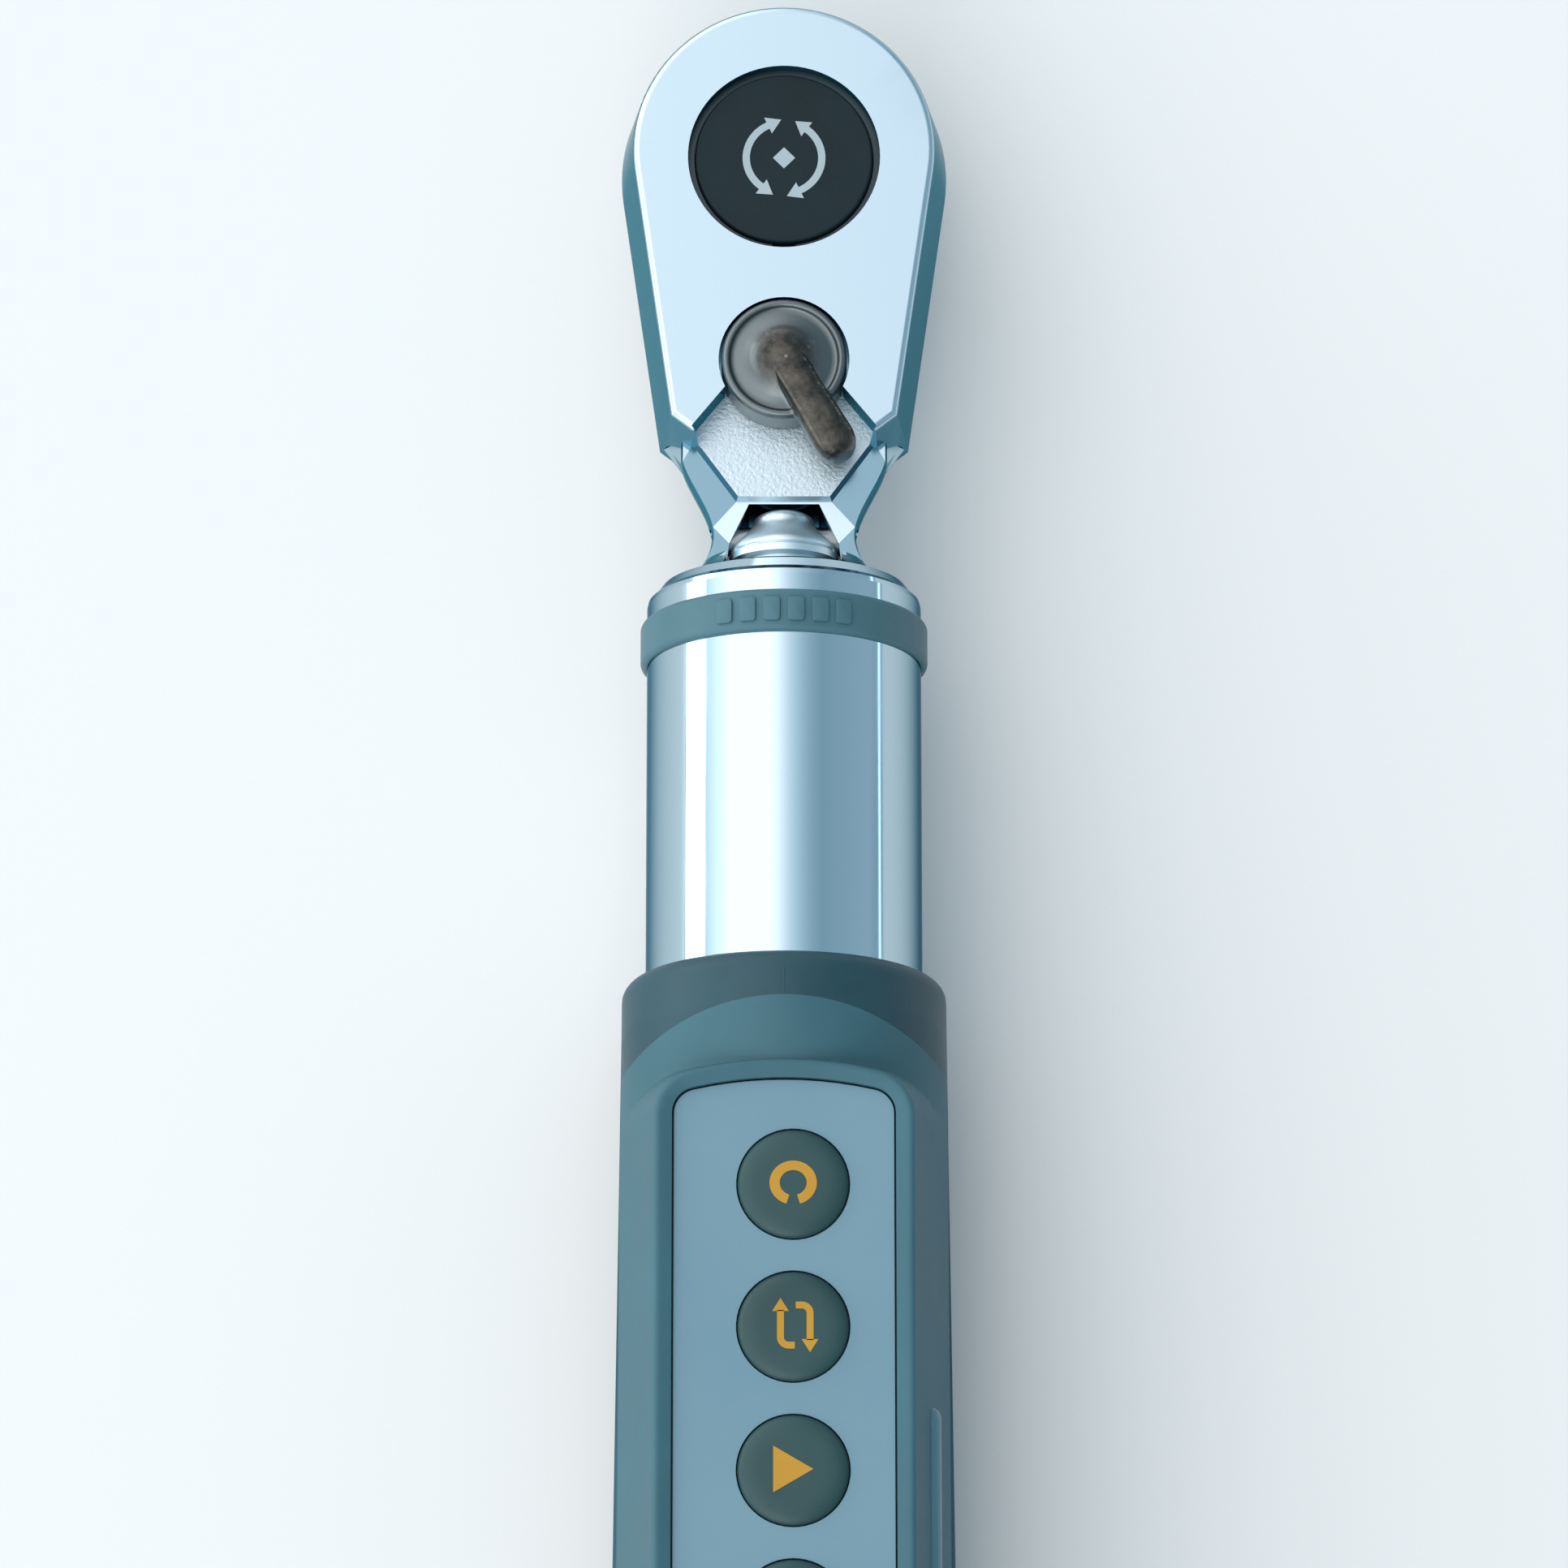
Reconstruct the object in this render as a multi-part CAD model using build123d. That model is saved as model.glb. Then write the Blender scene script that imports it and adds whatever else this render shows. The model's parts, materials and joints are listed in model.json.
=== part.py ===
from build123d import *
import math
import os

# Electronic torque wrench with a reversible square-drive ratchet head.
# +Y runs along the tool from the grip to the head, +Z leaves the fascia, +X is to the right.
# The origin is the centre of the square drive's end face. Everything is built about the tube's
# axis (height 0 here) and lifted by AXIS_HEIGHT when it is written. Sizes are in millimetres.

# ratchet head
HEAD_HALF_THICKNESS = 6.5
HEAD_RADIUS = 16.9
HEAD_CENTRE_Y = 0.9
HEAD_WIDEST_Z = -3.5
HEAD_SIDE_TAPER = 8.2
HEAD_DRAFT = 8.0
HEAD_BACK_FILLET = 2.6
HEAD_FRONT_FILLET = 0.7
SHOULDER_Y = -28.6
GEAR_BORE_RADIUS = 9.9
BACK_BORE_RADIUS = 7.4
GEAR_SEAT_Z = -4.7
GEAR_TOP_Z = 3.0

# square drive: 3/8 in. across flats
SQUARE = 9.525
SQUARE_LENGTH = 10.5
BOSS_LENGTH = 1.5
AXIS_HEIGHT = HEAD_HALF_THICKNESS + BOSS_LENGTH + SQUARE_LENGTH
GEAR_TEETH = 36
GEAR_TIP_RADIUS = 9.7
GEAR_ROOT_RADIUS = 9.0
BALL_RADIUS = 1.6
BALL_HEIGHT = 4.5
BALL_INSET = 0.7
BALL_SEAT = 4.4

# cover over the gear, and the snap ring in its groove
COVER_RADIUS = 9.15
COVER_FLANGE_RADIUS = 9.8
COVER_Z = (3.3, 5.95)
COVER_FLANGE_TOP = 4.3
SNAP_RING_RADII = (9.25, 10.4)
SNAP_RING_Z = (4.4, 5.2)
SNAP_RING_PLAY = 0.05

# pawl and its pin
PAWL_PIN_Y = -13.6
PAWL_PIN_RADIUS = 1.2
PAWL_ROCK = 4.2
PAWL_Z = (-4.3, 2.3)
PAWL_PIN_Z = (-5.6, 3.4)
PAWL_BODY_RADIUS = 10.45
CHAMBER_RADIUS = 14.8
CHAMBER_HALF_WIDTH = 7.8
CHAMBER_PLAY = 0.3

# reversing lever
LEVER_Y = -22.0
LEVER_HUB_RADIUS = 6.43
LEVER_SHAFT_RADIUS = 3.5
LEVER_ANGLE = 30.0
LEVER_REACH = 9.9
LEVER_ARM_WIDTH = 4.5
LEVER_ARM_Z = (4.6, 9.0)
LEVER_HUB_TOP = 7.1
LEVER_SHAFT_END = -4.3
LEVER_BORE_RADIUS = 6.7
CLIP_RADII = (3.2, 4.0)
CLIP_Z = (0.95, 1.55)
CLIP_PLAY = 0.05
RECESS_FLOOR_Z = 3.0
CUT_ABOVE = 12.0
PLUNGER_Z = -1.0
PLUNGER_TIP = 5.6
PLUNGER_RADIUS = 0.95

# neck, cap, ring and tube
NECK_WAIST_RADIUS = 7.5
NECK_WAIST_Y = -39.6
NECK_FRONT_Z = 2.2
PLATEAU_SIDES = 25.0
FLARE_END_Y = -46.0
CAP_END_Y = -48.8
RING_END_Y = -53.2
TUBE_RADIUS = 14.0
TUBE_BORE = 12.2
TUBE_END_Y = -99.0
RING_RADIUS = 14.65
RING_SEAT_RADIUS = 12.9
SPIGOT_RADIUS = 11.8
SPIGOT_END_Y = -60.0
BEAM_RADIUS = 5.0
NOSE_RIM_RADIUS = 5.6
NOSE_GROOVE_RADIUS = 4.6
CROSS_PIN_RADIUS = 1.5
CROSS_PIN_Y = -39.6
SPIGOT_PIN_RADIUS = 1.2
SPIGOT_PIN_Y = -51.0
ANCHOR_PIN_RADIUS = 2.5
ANCHOR_PIN_Y = -91.0
GAUGE_Y = (-69.0, -77.0)
FLEXURE_HALF_WIDTH = 4.0
PIN_CLEARANCE = 0.03

# grip shells
COLLAR_Y = -86.4
COLLAR_RADIUS = 16.35
COLLAR_ROUND = 2.0
GRIP_RADIUS = 17.2
GRIP_END_Y = -226.0
GRIP_END_RADIUS = 16.2
WALL_BORE = 14.8
CAP_BORE = 13.6
BORE_STEP_Y = -221.0
SCREW_X = 11.9
SCREW_Y = (-106.0, -169.0)
SCREW_RADIUS = 1.0
SCREW_HEAD_RADIUS = 2.0
SCREW_HEAD_Z = (-11.0, -9.5)
POST_RADIUS = 2.3
RIB_RADIUS = 1.3
RIB_X = 14.2
RIB_Z = 8.6
RIB_Y = (-213.0, -132.5)
SOFT_EDGE_Y = -91.3
SOFT_EDGE_ARC = 28.0
BEZEL_TOP_Z = 15.7
BEZEL_HALF_WIDTH = 12.8
BEZEL_FRONT_Y = -97.7
BEZEL_BACK_Y = -207.0
BEZEL_WIDTH = 1.75
WINDOW_CORNER = 2.6
PLATEAU_BASE_Z = 3.0
PLATEAU_CORNER = 4.5
LEDGE_HALF_WIDTH = 10.3
LEDGE_ENDS = (-100.4, -204.3)
LEDGE_Z = 8.8
END_ARCH = 40.0
FLANK_DRAFT = 16.0
BEZEL_ROUND = 0.5
BEZEL_DISH = 0.35
CROWN_SECTIONS = [(-91.8, 16.45, 0.0), (-97.3, 16.6, 1.5), (-207.4, 17.3, 2.2), (-213.0, 17.25, 0.0)]
CROWN_CUT_Z = 1.0

# fascia, buttons and electronics
PANEL_TOP_Z = 14.9
PANEL_THICKNESS = 1.2
PANEL_GAP = 0.2
BUTTON_X = 0.9
BUTTON_RADIUS = 5.5
BUTTON_FIRST_Y = -110.2
BUTTON_PITCH = 14.27
BUTTON_COUNT = 4
BUTTON_PROUD = 0.7
BUTTON_TRAVEL = 0.5
BUTTON_GAP = 0.12
BUTTON_FLANGE = 0.7
BUTTON_FLANGE_THICKNESS = 0.8
BUTTON_EDGE = 0.6
BUTTON_STEM_RADIUS = 1.6
SWITCH_RADIUS = 2.6
SWITCH_HEIGHT = 0.6
PCB_TOP_Z = 10.6
PCB_THICKNESS = 1.6
LCD_CENTRE_Y = -184.0
LCD_SIZE = (17.0, 34.0)
LCD_CORNER = 1.0
LCD_BORDER = 1.2
CHIPS = [((0.0, -128.0), 4.5), ((-4.0, -143.0), 2.5), ((4.0, -150.0), 2.0)]
LAMP_Y = (-136.0, -160.0, -184.0)
BUZZER_Y = -112.0

# power
CELL_RADIUS = 5.25
CELL_LENGTH = 44.5
CELL_X = 5.6
CELL_Z = -6.0
CELL_FRONT_Y = -175.5
CELL_PIP_RADIUS = 1.9
CAP_LENGTH = 12.0
CAP_PLUG_FRONT_Y = -221.6
CAP_FLOOR_Y = -227.6
CAP_FLUTES = 18
SEAL_Y = -224.8
SEAL_RADIUS = 12.87
SEAL_WIRE = 0.5


def cylinder_z(radius, low, high, x=0.0, y=0.0):
    return Pos(x, y, (low + high) / 2) * Cylinder(radius, high - low)


def cylinder_y(radius, low, high, x=0.0, z=0.0):
    return Pos(x, (low + high) / 2, z) * Rot(90, 0, 0) * Cylinder(radius, high - low)


def cylinder_x(radius, low, high, y=0.0, z=0.0):
    return Pos((low + high) / 2, y, z) * Rot(0, 90, 0) * Cylinder(radius, high - low)


def block(x_span, y_span, z_span):
    size = [abs(b - a) for a, b in (x_span, y_span, z_span)]
    centre = [(a + b) / 2 for a, b in (x_span, y_span, z_span)]
    return Pos(*centre) * Box(*size)


def plan_face(points):
    return make_face(Polyline(*points, close=True))


def turned_y(points):
    """A solid turned about the tube's axis from (radius, y) points."""
    return revolve(plan_face(points), axis=Axis.Y)


def plate(outline, low, high, taper=0.0):
    return Pos(0, 0, low) * extrude(outline, amount=high - low, taper=taper)


def arched_window(half_width, front, back, radius):
    """Long window outline whose two ends are shallow arches, with rounded corners."""
    sag = END_ARCH - math.sqrt(END_ARCH**2 - half_width**2)
    front_corner = front - sag
    back_corner = back + sag
    outline = make_face([
        ThreePointArc((half_width, front_corner), (0, front), (-half_width, front_corner)),
        Line((-half_width, front_corner), (-half_width, back_corner)),
        ThreePointArc((-half_width, back_corner), (0, back), (half_width, back_corner)),
        Line((half_width, back_corner), (half_width, front_corner)),
    ])
    return fillet(outline.vertices(), radius)


def coil(mean_radius, wire_radius, length, turns):
    """A compression spring that stands on z = 0, with its wire inside the given length."""
    run = length - 2 * wire_radius
    path = Helix(pitch=run / turns, height=run, radius=mean_radius)
    section = Plane(origin=path @ 0, z_dir=path % 0) * Circle(wire_radius)
    return Pos(0, 0, wire_radius) * sweep(section, path=path)


def head_outline():
    """Round end, tapered sides and short shoulders, at the head's widest level."""
    slope = math.radians(HEAD_SIDE_TAPER)
    tangent_x = HEAD_RADIUS * math.cos(slope)
    tangent_y = HEAD_CENTRE_Y - HEAD_RADIUS * math.sin(slope)
    corner_x = tangent_x - (tangent_y - SHOULDER_Y) * math.tan(slope)
    lower_x = corner_x - 3.0
    arc = ThreePointArc(
        (tangent_x, tangent_y), (0, HEAD_CENTRE_Y + HEAD_RADIUS), (-tangent_x, tangent_y)
    )
    sides = Polyline(
        (-tangent_x, tangent_y),
        (-corner_x, SHOULDER_Y),
        (-lower_x, SHOULDER_Y - 2.3),
        (lower_x, SHOULDER_Y - 2.3),
        (corner_x, SHOULDER_Y),
        (tangent_x, tangent_y),
    )
    return make_face([arc, sides])


def head_blank():
    outline = head_outline()
    front = plate(outline, HEAD_WIDEST_Z, HEAD_HALF_THICKNESS, taper=HEAD_DRAFT)
    front = fillet(front.faces().sort_by(Axis.Z)[-1].edges(), HEAD_FRONT_FILLET)
    back = Pos(0, 0, HEAD_WIDEST_Z) * extrude(outline, amount=-(HEAD_HALF_THICKNESS + HEAD_WIDEST_Z))
    back = fillet(back.faces().sort_by(Axis.Z)[0].edges(), HEAD_BACK_FILLET)
    return front + back


def neck_blank():
    """Waisted neck that flares into the round collar behind it."""
    lines = [
        Line((0, -27.5), (10.6, -27.5)),
        Line((10.6, -27.5), (10.6, -31.6)),
        Spline((10.6, -31.6), (8.25, -36.7), (NECK_WAIST_RADIUS, NECK_WAIST_Y), (8.4, -42.4), (12.6, -45.0)),
        Line((12.6, -45.0), (13.3, FLARE_END_Y)),
        Line((13.3, FLARE_END_Y), (0, FLARE_END_Y)),
        Line((0, FLARE_END_Y), (0, -27.5)),
    ]
    solid = revolve(make_face(lines), axis=Axis.Y)
    solid -= block((-20, 20), (-27, -42.3), (NECK_FRONT_Z, 20))
    solid -= block((-20, 20), (-27, -41.0), (-HEAD_HALF_THICKNESS, -20))
    plateau = Pos(0, 0, RECESS_FLOOR_Z) * extrude(blasted_outline(), amount=-5.0, taper=-PLATEAU_SIDES)
    return solid + plateau


def blasted_outline():
    """Sand-blasted pentagon below the lever."""
    return plan_face(
        [(-5.7, -24.5), (-9.44, -29.1), (-4.7, -35.6), (4.7, -35.6), (9.44, -29.1), (5.7, -24.5)]
    )


def recess_cut():
    """Opens the head's face down to the pentagon, and the counterbore round the lever's hub."""
    opening = plate(blasted_outline(), RECESS_FLOOR_Z, CUT_ABOVE)
    return opening + cylinder_z(LEVER_BORE_RADIUS, RECESS_FLOOR_Z, CUT_ABOVE, 0, LEVER_Y)


def pawl_chamber():
    """Room for the pawl to rock, a pocket behind it and the plunger's swing."""
    levels = (PAWL_Z[0] - CHAMBER_PLAY, PAWL_Z[1] + CHAMBER_PLAY)
    back_y = -17.9
    ring = cylinder_z(CHAMBER_RADIUS, *levels)
    half = CHAMBER_HALF_WIDTH
    sector = plan_face([(0, 0), (-19, -14), (-half, back_y), (half, back_y), (19, -14)])
    pocket = block((-half, half), (-10, back_y - 0.5), levels)
    fan = plan_face([(0, LEVER_Y), (-6.2, -17.6), (6.2, -17.6)])
    swing = plate(fan, PLUNGER_Z - 1.3, PLUNGER_Z + 1.3)
    return ring & plate(sector, *levels), pocket, swing


def ratchet_head():
    """Head, neck and spigot in one forging, with every bore and pocket."""
    solid = head_blank() + neck_blank() + cylinder_y(SPIGOT_RADIUS, SPIGOT_END_Y, FLARE_END_Y)
    solid -= cylinder_z(GEAR_BORE_RADIUS, GEAR_SEAT_Z, CUT_ABOVE)
    solid -= cylinder_z(BACK_BORE_RADIUS, -CUT_ABOVE, GEAR_SEAT_Z + 0.1)
    groove = (SNAP_RING_Z[0] - SNAP_RING_PLAY, SNAP_RING_Z[1] + SNAP_RING_PLAY)
    solid -= cylinder_z(SNAP_RING_RADII[1] + 0.1, *groove)
    solid -= recess_cut()
    for cut in pawl_chamber():
        solid -= cut
    solid -= cylinder_z(LEVER_SHAFT_RADIUS + 0.06, LEVER_SHAFT_END - 0.1, 5.0, 0, LEVER_Y)
    solid -= cylinder_z(CLIP_RADII[1] + 0.1, CLIP_Z[0] - CLIP_PLAY, CLIP_Z[1] + CLIP_PLAY, 0, LEVER_Y)
    solid -= cylinder_z(PAWL_PIN_RADIUS, *PAWL_PIN_Z, 0, PAWL_PIN_Y)
    solid -= neck_pocket()
    solid -= cylinder_y(BEAM_RADIUS + 0.15, SPIGOT_END_Y - 1, -43.0)
    solid -= cylinder_x(CROSS_PIN_RADIUS, -8, 8, CROSS_PIN_Y)
    for side in (1, -1):
        solid -= cylinder_x(SPIGOT_PIN_RADIUS, *sorted((side * 8.5, side * 13)), y=SPIGOT_PIN_Y)
    return solid


def neck_pocket():
    """Open-fronted pocket between the two cheeks, round the beam's nose."""
    outline = plan_face(
        [(-3.6, -36.2), (3.6, -36.2), (5.6, -40.4), (6.1, -44.1), (-6.1, -44.1), (-5.6, -40.4)]
    )
    return plate(outline, -5.5, 16.0)


def gear_outline(growth=0.0):
    """The gear's toothed outline, grown by a running clearance where another part is cut to it."""
    points = []
    for index in range(2 * GEAR_TEETH):
        radius = (GEAR_ROOT_RADIUS if index % 2 else GEAR_TIP_RADIUS) + growth
        angle = math.radians(90 + index * 180 / GEAR_TEETH)
        points.append((radius * math.cos(angle), radius * math.sin(angle)))
    return plan_face(points)


def drive_gear():
    """Gear, bearing boss and square drive in one piece, with the ball's seat."""
    square_top = -HEAD_HALF_THICKNESS - BOSS_LENGTH
    solid = plate(gear_outline(), GEAR_SEAT_Z + 0.1, GEAR_TOP_Z)
    solid += cylinder_z(BACK_BORE_RADIUS - 0.1, square_top, GEAR_SEAT_Z + 0.2)
    square = plate(RectangleRounded(SQUARE, SQUARE, 0.8), -AXIS_HEIGHT, square_top)
    square = chamfer(square.faces().sort_by(Axis.Z)[0].edges(), 0.7)
    solid += square
    ball_y = SQUARE / 2 - BALL_INSET
    solid -= cylinder_y(BALL_RADIUS + 0.04, ball_y - BALL_SEAT, SQUARE, z=-AXIS_HEIGHT + BALL_HEIGHT)
    return solid


def drive_ball():
    return Pos(0, SQUARE / 2 - BALL_INSET, -AXIS_HEIGHT + BALL_HEIGHT) * Sphere(BALL_RADIUS)


def ball_spring():
    end = SQUARE / 2 - BALL_INSET - BALL_SEAT + 0.1
    return Pos(0, end, -AXIS_HEIGHT + BALL_HEIGHT) * Rot(-90, 0, 0) * coil(1.1, 0.2, 2.7, 4)


def head_cover():
    return cylinder_z(COVER_RADIUS, *COVER_Z) + cylinder_z(COVER_FLANGE_RADIUS, COVER_Z[0], COVER_FLANGE_TOP)


def cover_ring():
    """Split snap ring in the head's groove."""
    inner, outer = SNAP_RING_RADII
    ring = cylinder_z(outer, *SNAP_RING_Z) - cylinder_z(inner, 4, 6)
    return ring - block((-1.2, 1.2), (-12, -8), (4, 6))


def pawl_neutral():
    """Double-ended rocking pawl, with both ends clear of the gear's teeth."""
    low, high = PAWL_Z
    body = plate(plan_face([(-8.9, -8.2), (-8.2, -11.0), (-4.6, -17.3), (4.6, -17.3),
                            (8.2, -11.0), (8.9, -8.2), (6.0, -6.2), (-6.0, -6.2)]), low, high)
    body -= cylinder_z(PAWL_BODY_RADIUS, low - 1, high + 1)
    body -= cylinder_z(PLUNGER_TIP + 0.2, low - 1, high + 1, 0, LEVER_Y)
    return body


def tooth_block():
    """Teeth at the left end only, cut to the gear's form in the engaged position."""
    low, high = PAWL_Z
    wedge = plate(plan_face([(0, 0), (-8.2, -9.7), (-9.5, -7.0)]), low, high)
    ring = cylinder_z(10.6, low, high) - cylinder_z(9.22, low - 1, high + 1)
    teeth = (wedge & ring) - plate(gear_outline(0.09), low - 1, high + 1)
    return about_pawl_pin(teeth, PAWL_ROCK)


def about_pawl_pin(shape, angle):
    return Pos(0, PAWL_PIN_Y) * Rot(0, 0, angle) * Pos(0, -PAWL_PIN_Y) * shape


def pawl():
    teeth = tooth_block()
    solid = pawl_neutral() + teeth + mirror(teeth, about=Plane.YZ)
    solid -= cylinder_z(PAWL_PIN_RADIUS + PIN_CLEARANCE, -9, 9, 0, PAWL_PIN_Y)
    return about_pawl_pin(solid, -PAWL_ROCK)


def pawl_pin():
    return cylinder_z(PAWL_PIN_RADIUS, *PAWL_PIN_Z, 0, PAWL_PIN_Y)


def at_lever(shape):
    """Turn a piece drawn with the arm towards -Y to the lever's resting angle."""
    return Pos(0, LEVER_Y) * Rot(0, 0, LEVER_ANGLE) * shape


def reversing_lever():
    """Hub, low dome, arm and grooved shaft, bored across for the plunger."""
    half = LEVER_ARM_WIDTH / 2
    hub = cylinder_z(LEVER_HUB_RADIUS, RECESS_FLOOR_Z + 0.15, LEVER_HUB_TOP)
    dome = Pos(0, 0, LEVER_HUB_TOP) * extrude(Circle(5.8), amount=0.9, taper=45)
    arm = block((-half, half), (-LEVER_REACH, 0), LEVER_ARM_Z)
    arm += cylinder_z(half, *LEVER_ARM_Z, 0, -LEVER_REACH)
    arm += cylinder_z(half, *LEVER_ARM_Z)
    shaft = cylinder_z(LEVER_SHAFT_RADIUS, LEVER_SHAFT_END, RECESS_FLOOR_Z + 0.2)
    solid = hub + dome + arm + shaft
    solid -= cylinder_y(PLUNGER_RADIUS + 0.05, -2.8, 5.0, z=PLUNGER_Z)
    levels = (CLIP_Z[0] - CLIP_PLAY, CLIP_Z[1] + CLIP_PLAY)
    solid -= cylinder_z(5, *levels) - cylinder_z(CLIP_RADII[0] - 0.1, *levels)
    return at_lever(solid)


def lever_clip():
    """Open wire ring that keeps the lever's shaft in the head."""
    inner, outer = CLIP_RADII
    ring = cylinder_z(outer, *CLIP_Z) - cylinder_z(inner, 0, 2)
    ring -= block((-1.0, 1.0), (0, 6), (0, 2))
    return Pos(0, LEVER_Y) * ring


def lever_plunger():
    tip = PLUNGER_TIP - PLUNGER_RADIUS
    return at_lever(
        cylinder_y(PLUNGER_RADIUS, 1.2, tip, z=PLUNGER_Z) + Pos(0, tip, PLUNGER_Z) * Sphere(PLUNGER_RADIUS)
    )


def plunger_spring():
    return at_lever(Pos(0, -2.7, PLUNGER_Z) * Rot(-90, 0, 0) * coil(0.65, 0.17, 3.2, 5))


def sensor_beam():
    """Turned nose, round shank, flat flexure and the rear block that fills the tube."""
    rim_y, root_y = -42.0, -44.2
    bell = Spline((0, -36.45), (2.6, -36.85), (3.5, -38.2), (4.15, -39.7), (NOSE_RIM_RADIUS, -41.3),
                  tangents=((1, 0), (1, -0.6)))
    rim = Polyline((NOSE_RIM_RADIUS, -41.3), (NOSE_RIM_RADIUS, rim_y), (NOSE_GROOVE_RADIUS, rim_y - 0.2),
                   (NOSE_GROOVE_RADIUS, rim_y - 0.6), (BEAM_RADIUS, rim_y - 0.9), (BEAM_RADIUS, root_y),
                   (0, root_y), (0, -36.45))
    nose = revolve(make_face([bell, rim]), axis=Axis.Y)
    shank = cylinder_y(BEAM_RADIUS, -63, root_y + 0.2)
    flexure = block((-FLEXURE_HALF_WIDTH, FLEXURE_HALF_WIDTH), (-62.5, -84.5), (-5.0, 5.0))
    for centre in GAUGE_Y:
        flexure -= cylinder_z(2.2, -6, 6, 0, centre)
    anchor = cylinder_y(TUBE_BORE - 0.05, -98, -84)
    solid = nose + shank + flexure + anchor
    solid -= cylinder_x(CROSS_PIN_RADIUS, -8, 8, CROSS_PIN_Y)
    solid -= cylinder_x(ANCHOR_PIN_RADIUS, -14, 14, ANCHOR_PIN_Y)
    return solid - block((-3, 3), (-100, -83), (6.0, 13.0))


def cross_pin():
    return cylinder_x(CROSS_PIN_RADIUS, -7.2, 7.2, CROSS_PIN_Y)


def spigot_pins():
    """A short pin on each side, from the spigot into the tube."""
    spans = [sorted((side * 8.6, side * (RING_SEAT_RADIUS - 0.1))) for side in (1, -1)]
    return [cylinder_x(SPIGOT_PIN_RADIUS, *span, y=SPIGOT_PIN_Y) for span in spans]


def anchor_pin():
    return cylinder_x(ANCHOR_PIN_RADIUS, -13.7, 13.7, ANCHOR_PIN_Y)


def strain_gauges():
    """Four foil gauges, two on each side of the flexure."""
    pads = []
    for side in (1, -1):
        x_span = sorted((side * FLEXURE_HALF_WIDTH, side * (FLEXURE_HALF_WIDTH + 0.25)))
        for centre in GAUGE_Y:
            pads.append(block(x_span, (centre - 2.5, centre + 2.5), (-3.2, 3.2)))
    return pads


def front_cap():
    """Ring that closes the tube's front, turned down to the neck's flare."""
    bore = SPIGOT_RADIUS + 0.05
    return turned_y([(bore, FLARE_END_Y), (13.3, FLARE_END_Y), (13.9, FLARE_END_Y - 0.5),
                     (TUBE_RADIUS, FLARE_END_Y - 1.0), (TUBE_RADIUS, CAP_END_Y), (bore, CAP_END_Y)])


def rubber_ring():
    ring = turned_y([(RING_SEAT_RADIUS, CAP_END_Y), (RING_RADIUS, CAP_END_Y),
                     (RING_RADIUS, RING_END_Y), (RING_SEAT_RADIUS, RING_END_Y)])
    circles = ring.edges().filter_by(GeomType.CIRCLE)
    outer = [edge for edge in circles if abs(edge.radius - RING_RADIUS) < 0.01]
    return fillet(outer, 0.55)


def chrome_tube():
    solid = turned_y([(TUBE_BORE, CAP_END_Y), (RING_SEAT_RADIUS, CAP_END_Y), (RING_SEAT_RADIUS, RING_END_Y),
                      (TUBE_RADIUS, RING_END_Y), (TUBE_RADIUS, TUBE_END_Y), (TUBE_BORE, TUBE_END_Y)])
    solid -= cylinder_x(ANCHOR_PIN_RADIUS, -15, 15, ANCHOR_PIN_Y)
    return solid - cylinder_x(SPIGOT_PIN_RADIUS, -14, 14, SPIGOT_PIN_Y)


def crown_cut():
    """What is removed so that the top flows down to a lower level in front of and behind the bezel."""
    sections = [Pos(0, y, -drop) * Rot(90, 0, 0) * Circle(radius) for y, radius, drop in CROWN_SECTIONS]
    front, back = CROWN_SECTIONS[0][0], CROWN_SECTIONS[-1][0]
    return block((-20, 20), (back, front), (CROWN_CUT_Z, 20)) - loft(sections, ruled=True)


def grip_outside():
    """Turned body with a rounded front corner, lowered crown and the raised plateau round the fascia."""
    profile = plan_face([
        (0, COLLAR_Y), (COLLAR_RADIUS, COLLAR_Y), (COLLAR_RADIUS + 0.2, -107), (COLLAR_RADIUS + 0.5, -133),
        (GRIP_RADIUS, -165), (GRIP_RADIUS, -205), (GRIP_END_RADIUS, GRIP_END_Y), (0, GRIP_END_Y),
    ])
    front_points = profile.vertices().filter_by_position(Axis.Y, COLLAR_Y - 0.01, COLLAR_Y + 0.01)
    turned = revolve(fillet(front_points.sort_by(Axis.X)[-1], COLLAR_ROUND), axis=Axis.Y)
    spread = (BEZEL_TOP_Z - PLATEAU_BASE_Z) * math.tan(math.radians(FLANK_DRAFT))
    foot = arched_window(BEZEL_HALF_WIDTH + spread, BEZEL_FRONT_Y + spread, BEZEL_BACK_Y - spread,
                         PLATEAU_CORNER + spread)
    plateau = plate(foot, PLATEAU_BASE_Z, BEZEL_TOP_Z, taper=FLANK_DRAFT)
    plateau = fillet(plateau.faces().sort_by(Axis.Z)[-1].edges(), BEZEL_ROUND)
    return (turned - crown_cut()) + plateau


def grip_cavity():
    """The bore: the tube's seat, the room for the electronics and the cap's opening."""
    return turned_y([(0, -80), (TUBE_RADIUS, -80), (TUBE_RADIUS, TUBE_END_Y), (WALL_BORE, TUBE_END_Y - 0.8),
                     (WALL_BORE, BORE_STEP_Y), (CAP_BORE, BORE_STEP_Y), (CAP_BORE, -230), (0, -230)])


def screw_posts(low, high, radius):
    """Upright cylinders at the four shell screws."""
    return [cylinder_z(radius, low, high, x, y) for x in (-SCREW_X, SCREW_X) for y in SCREW_Y]


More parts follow.
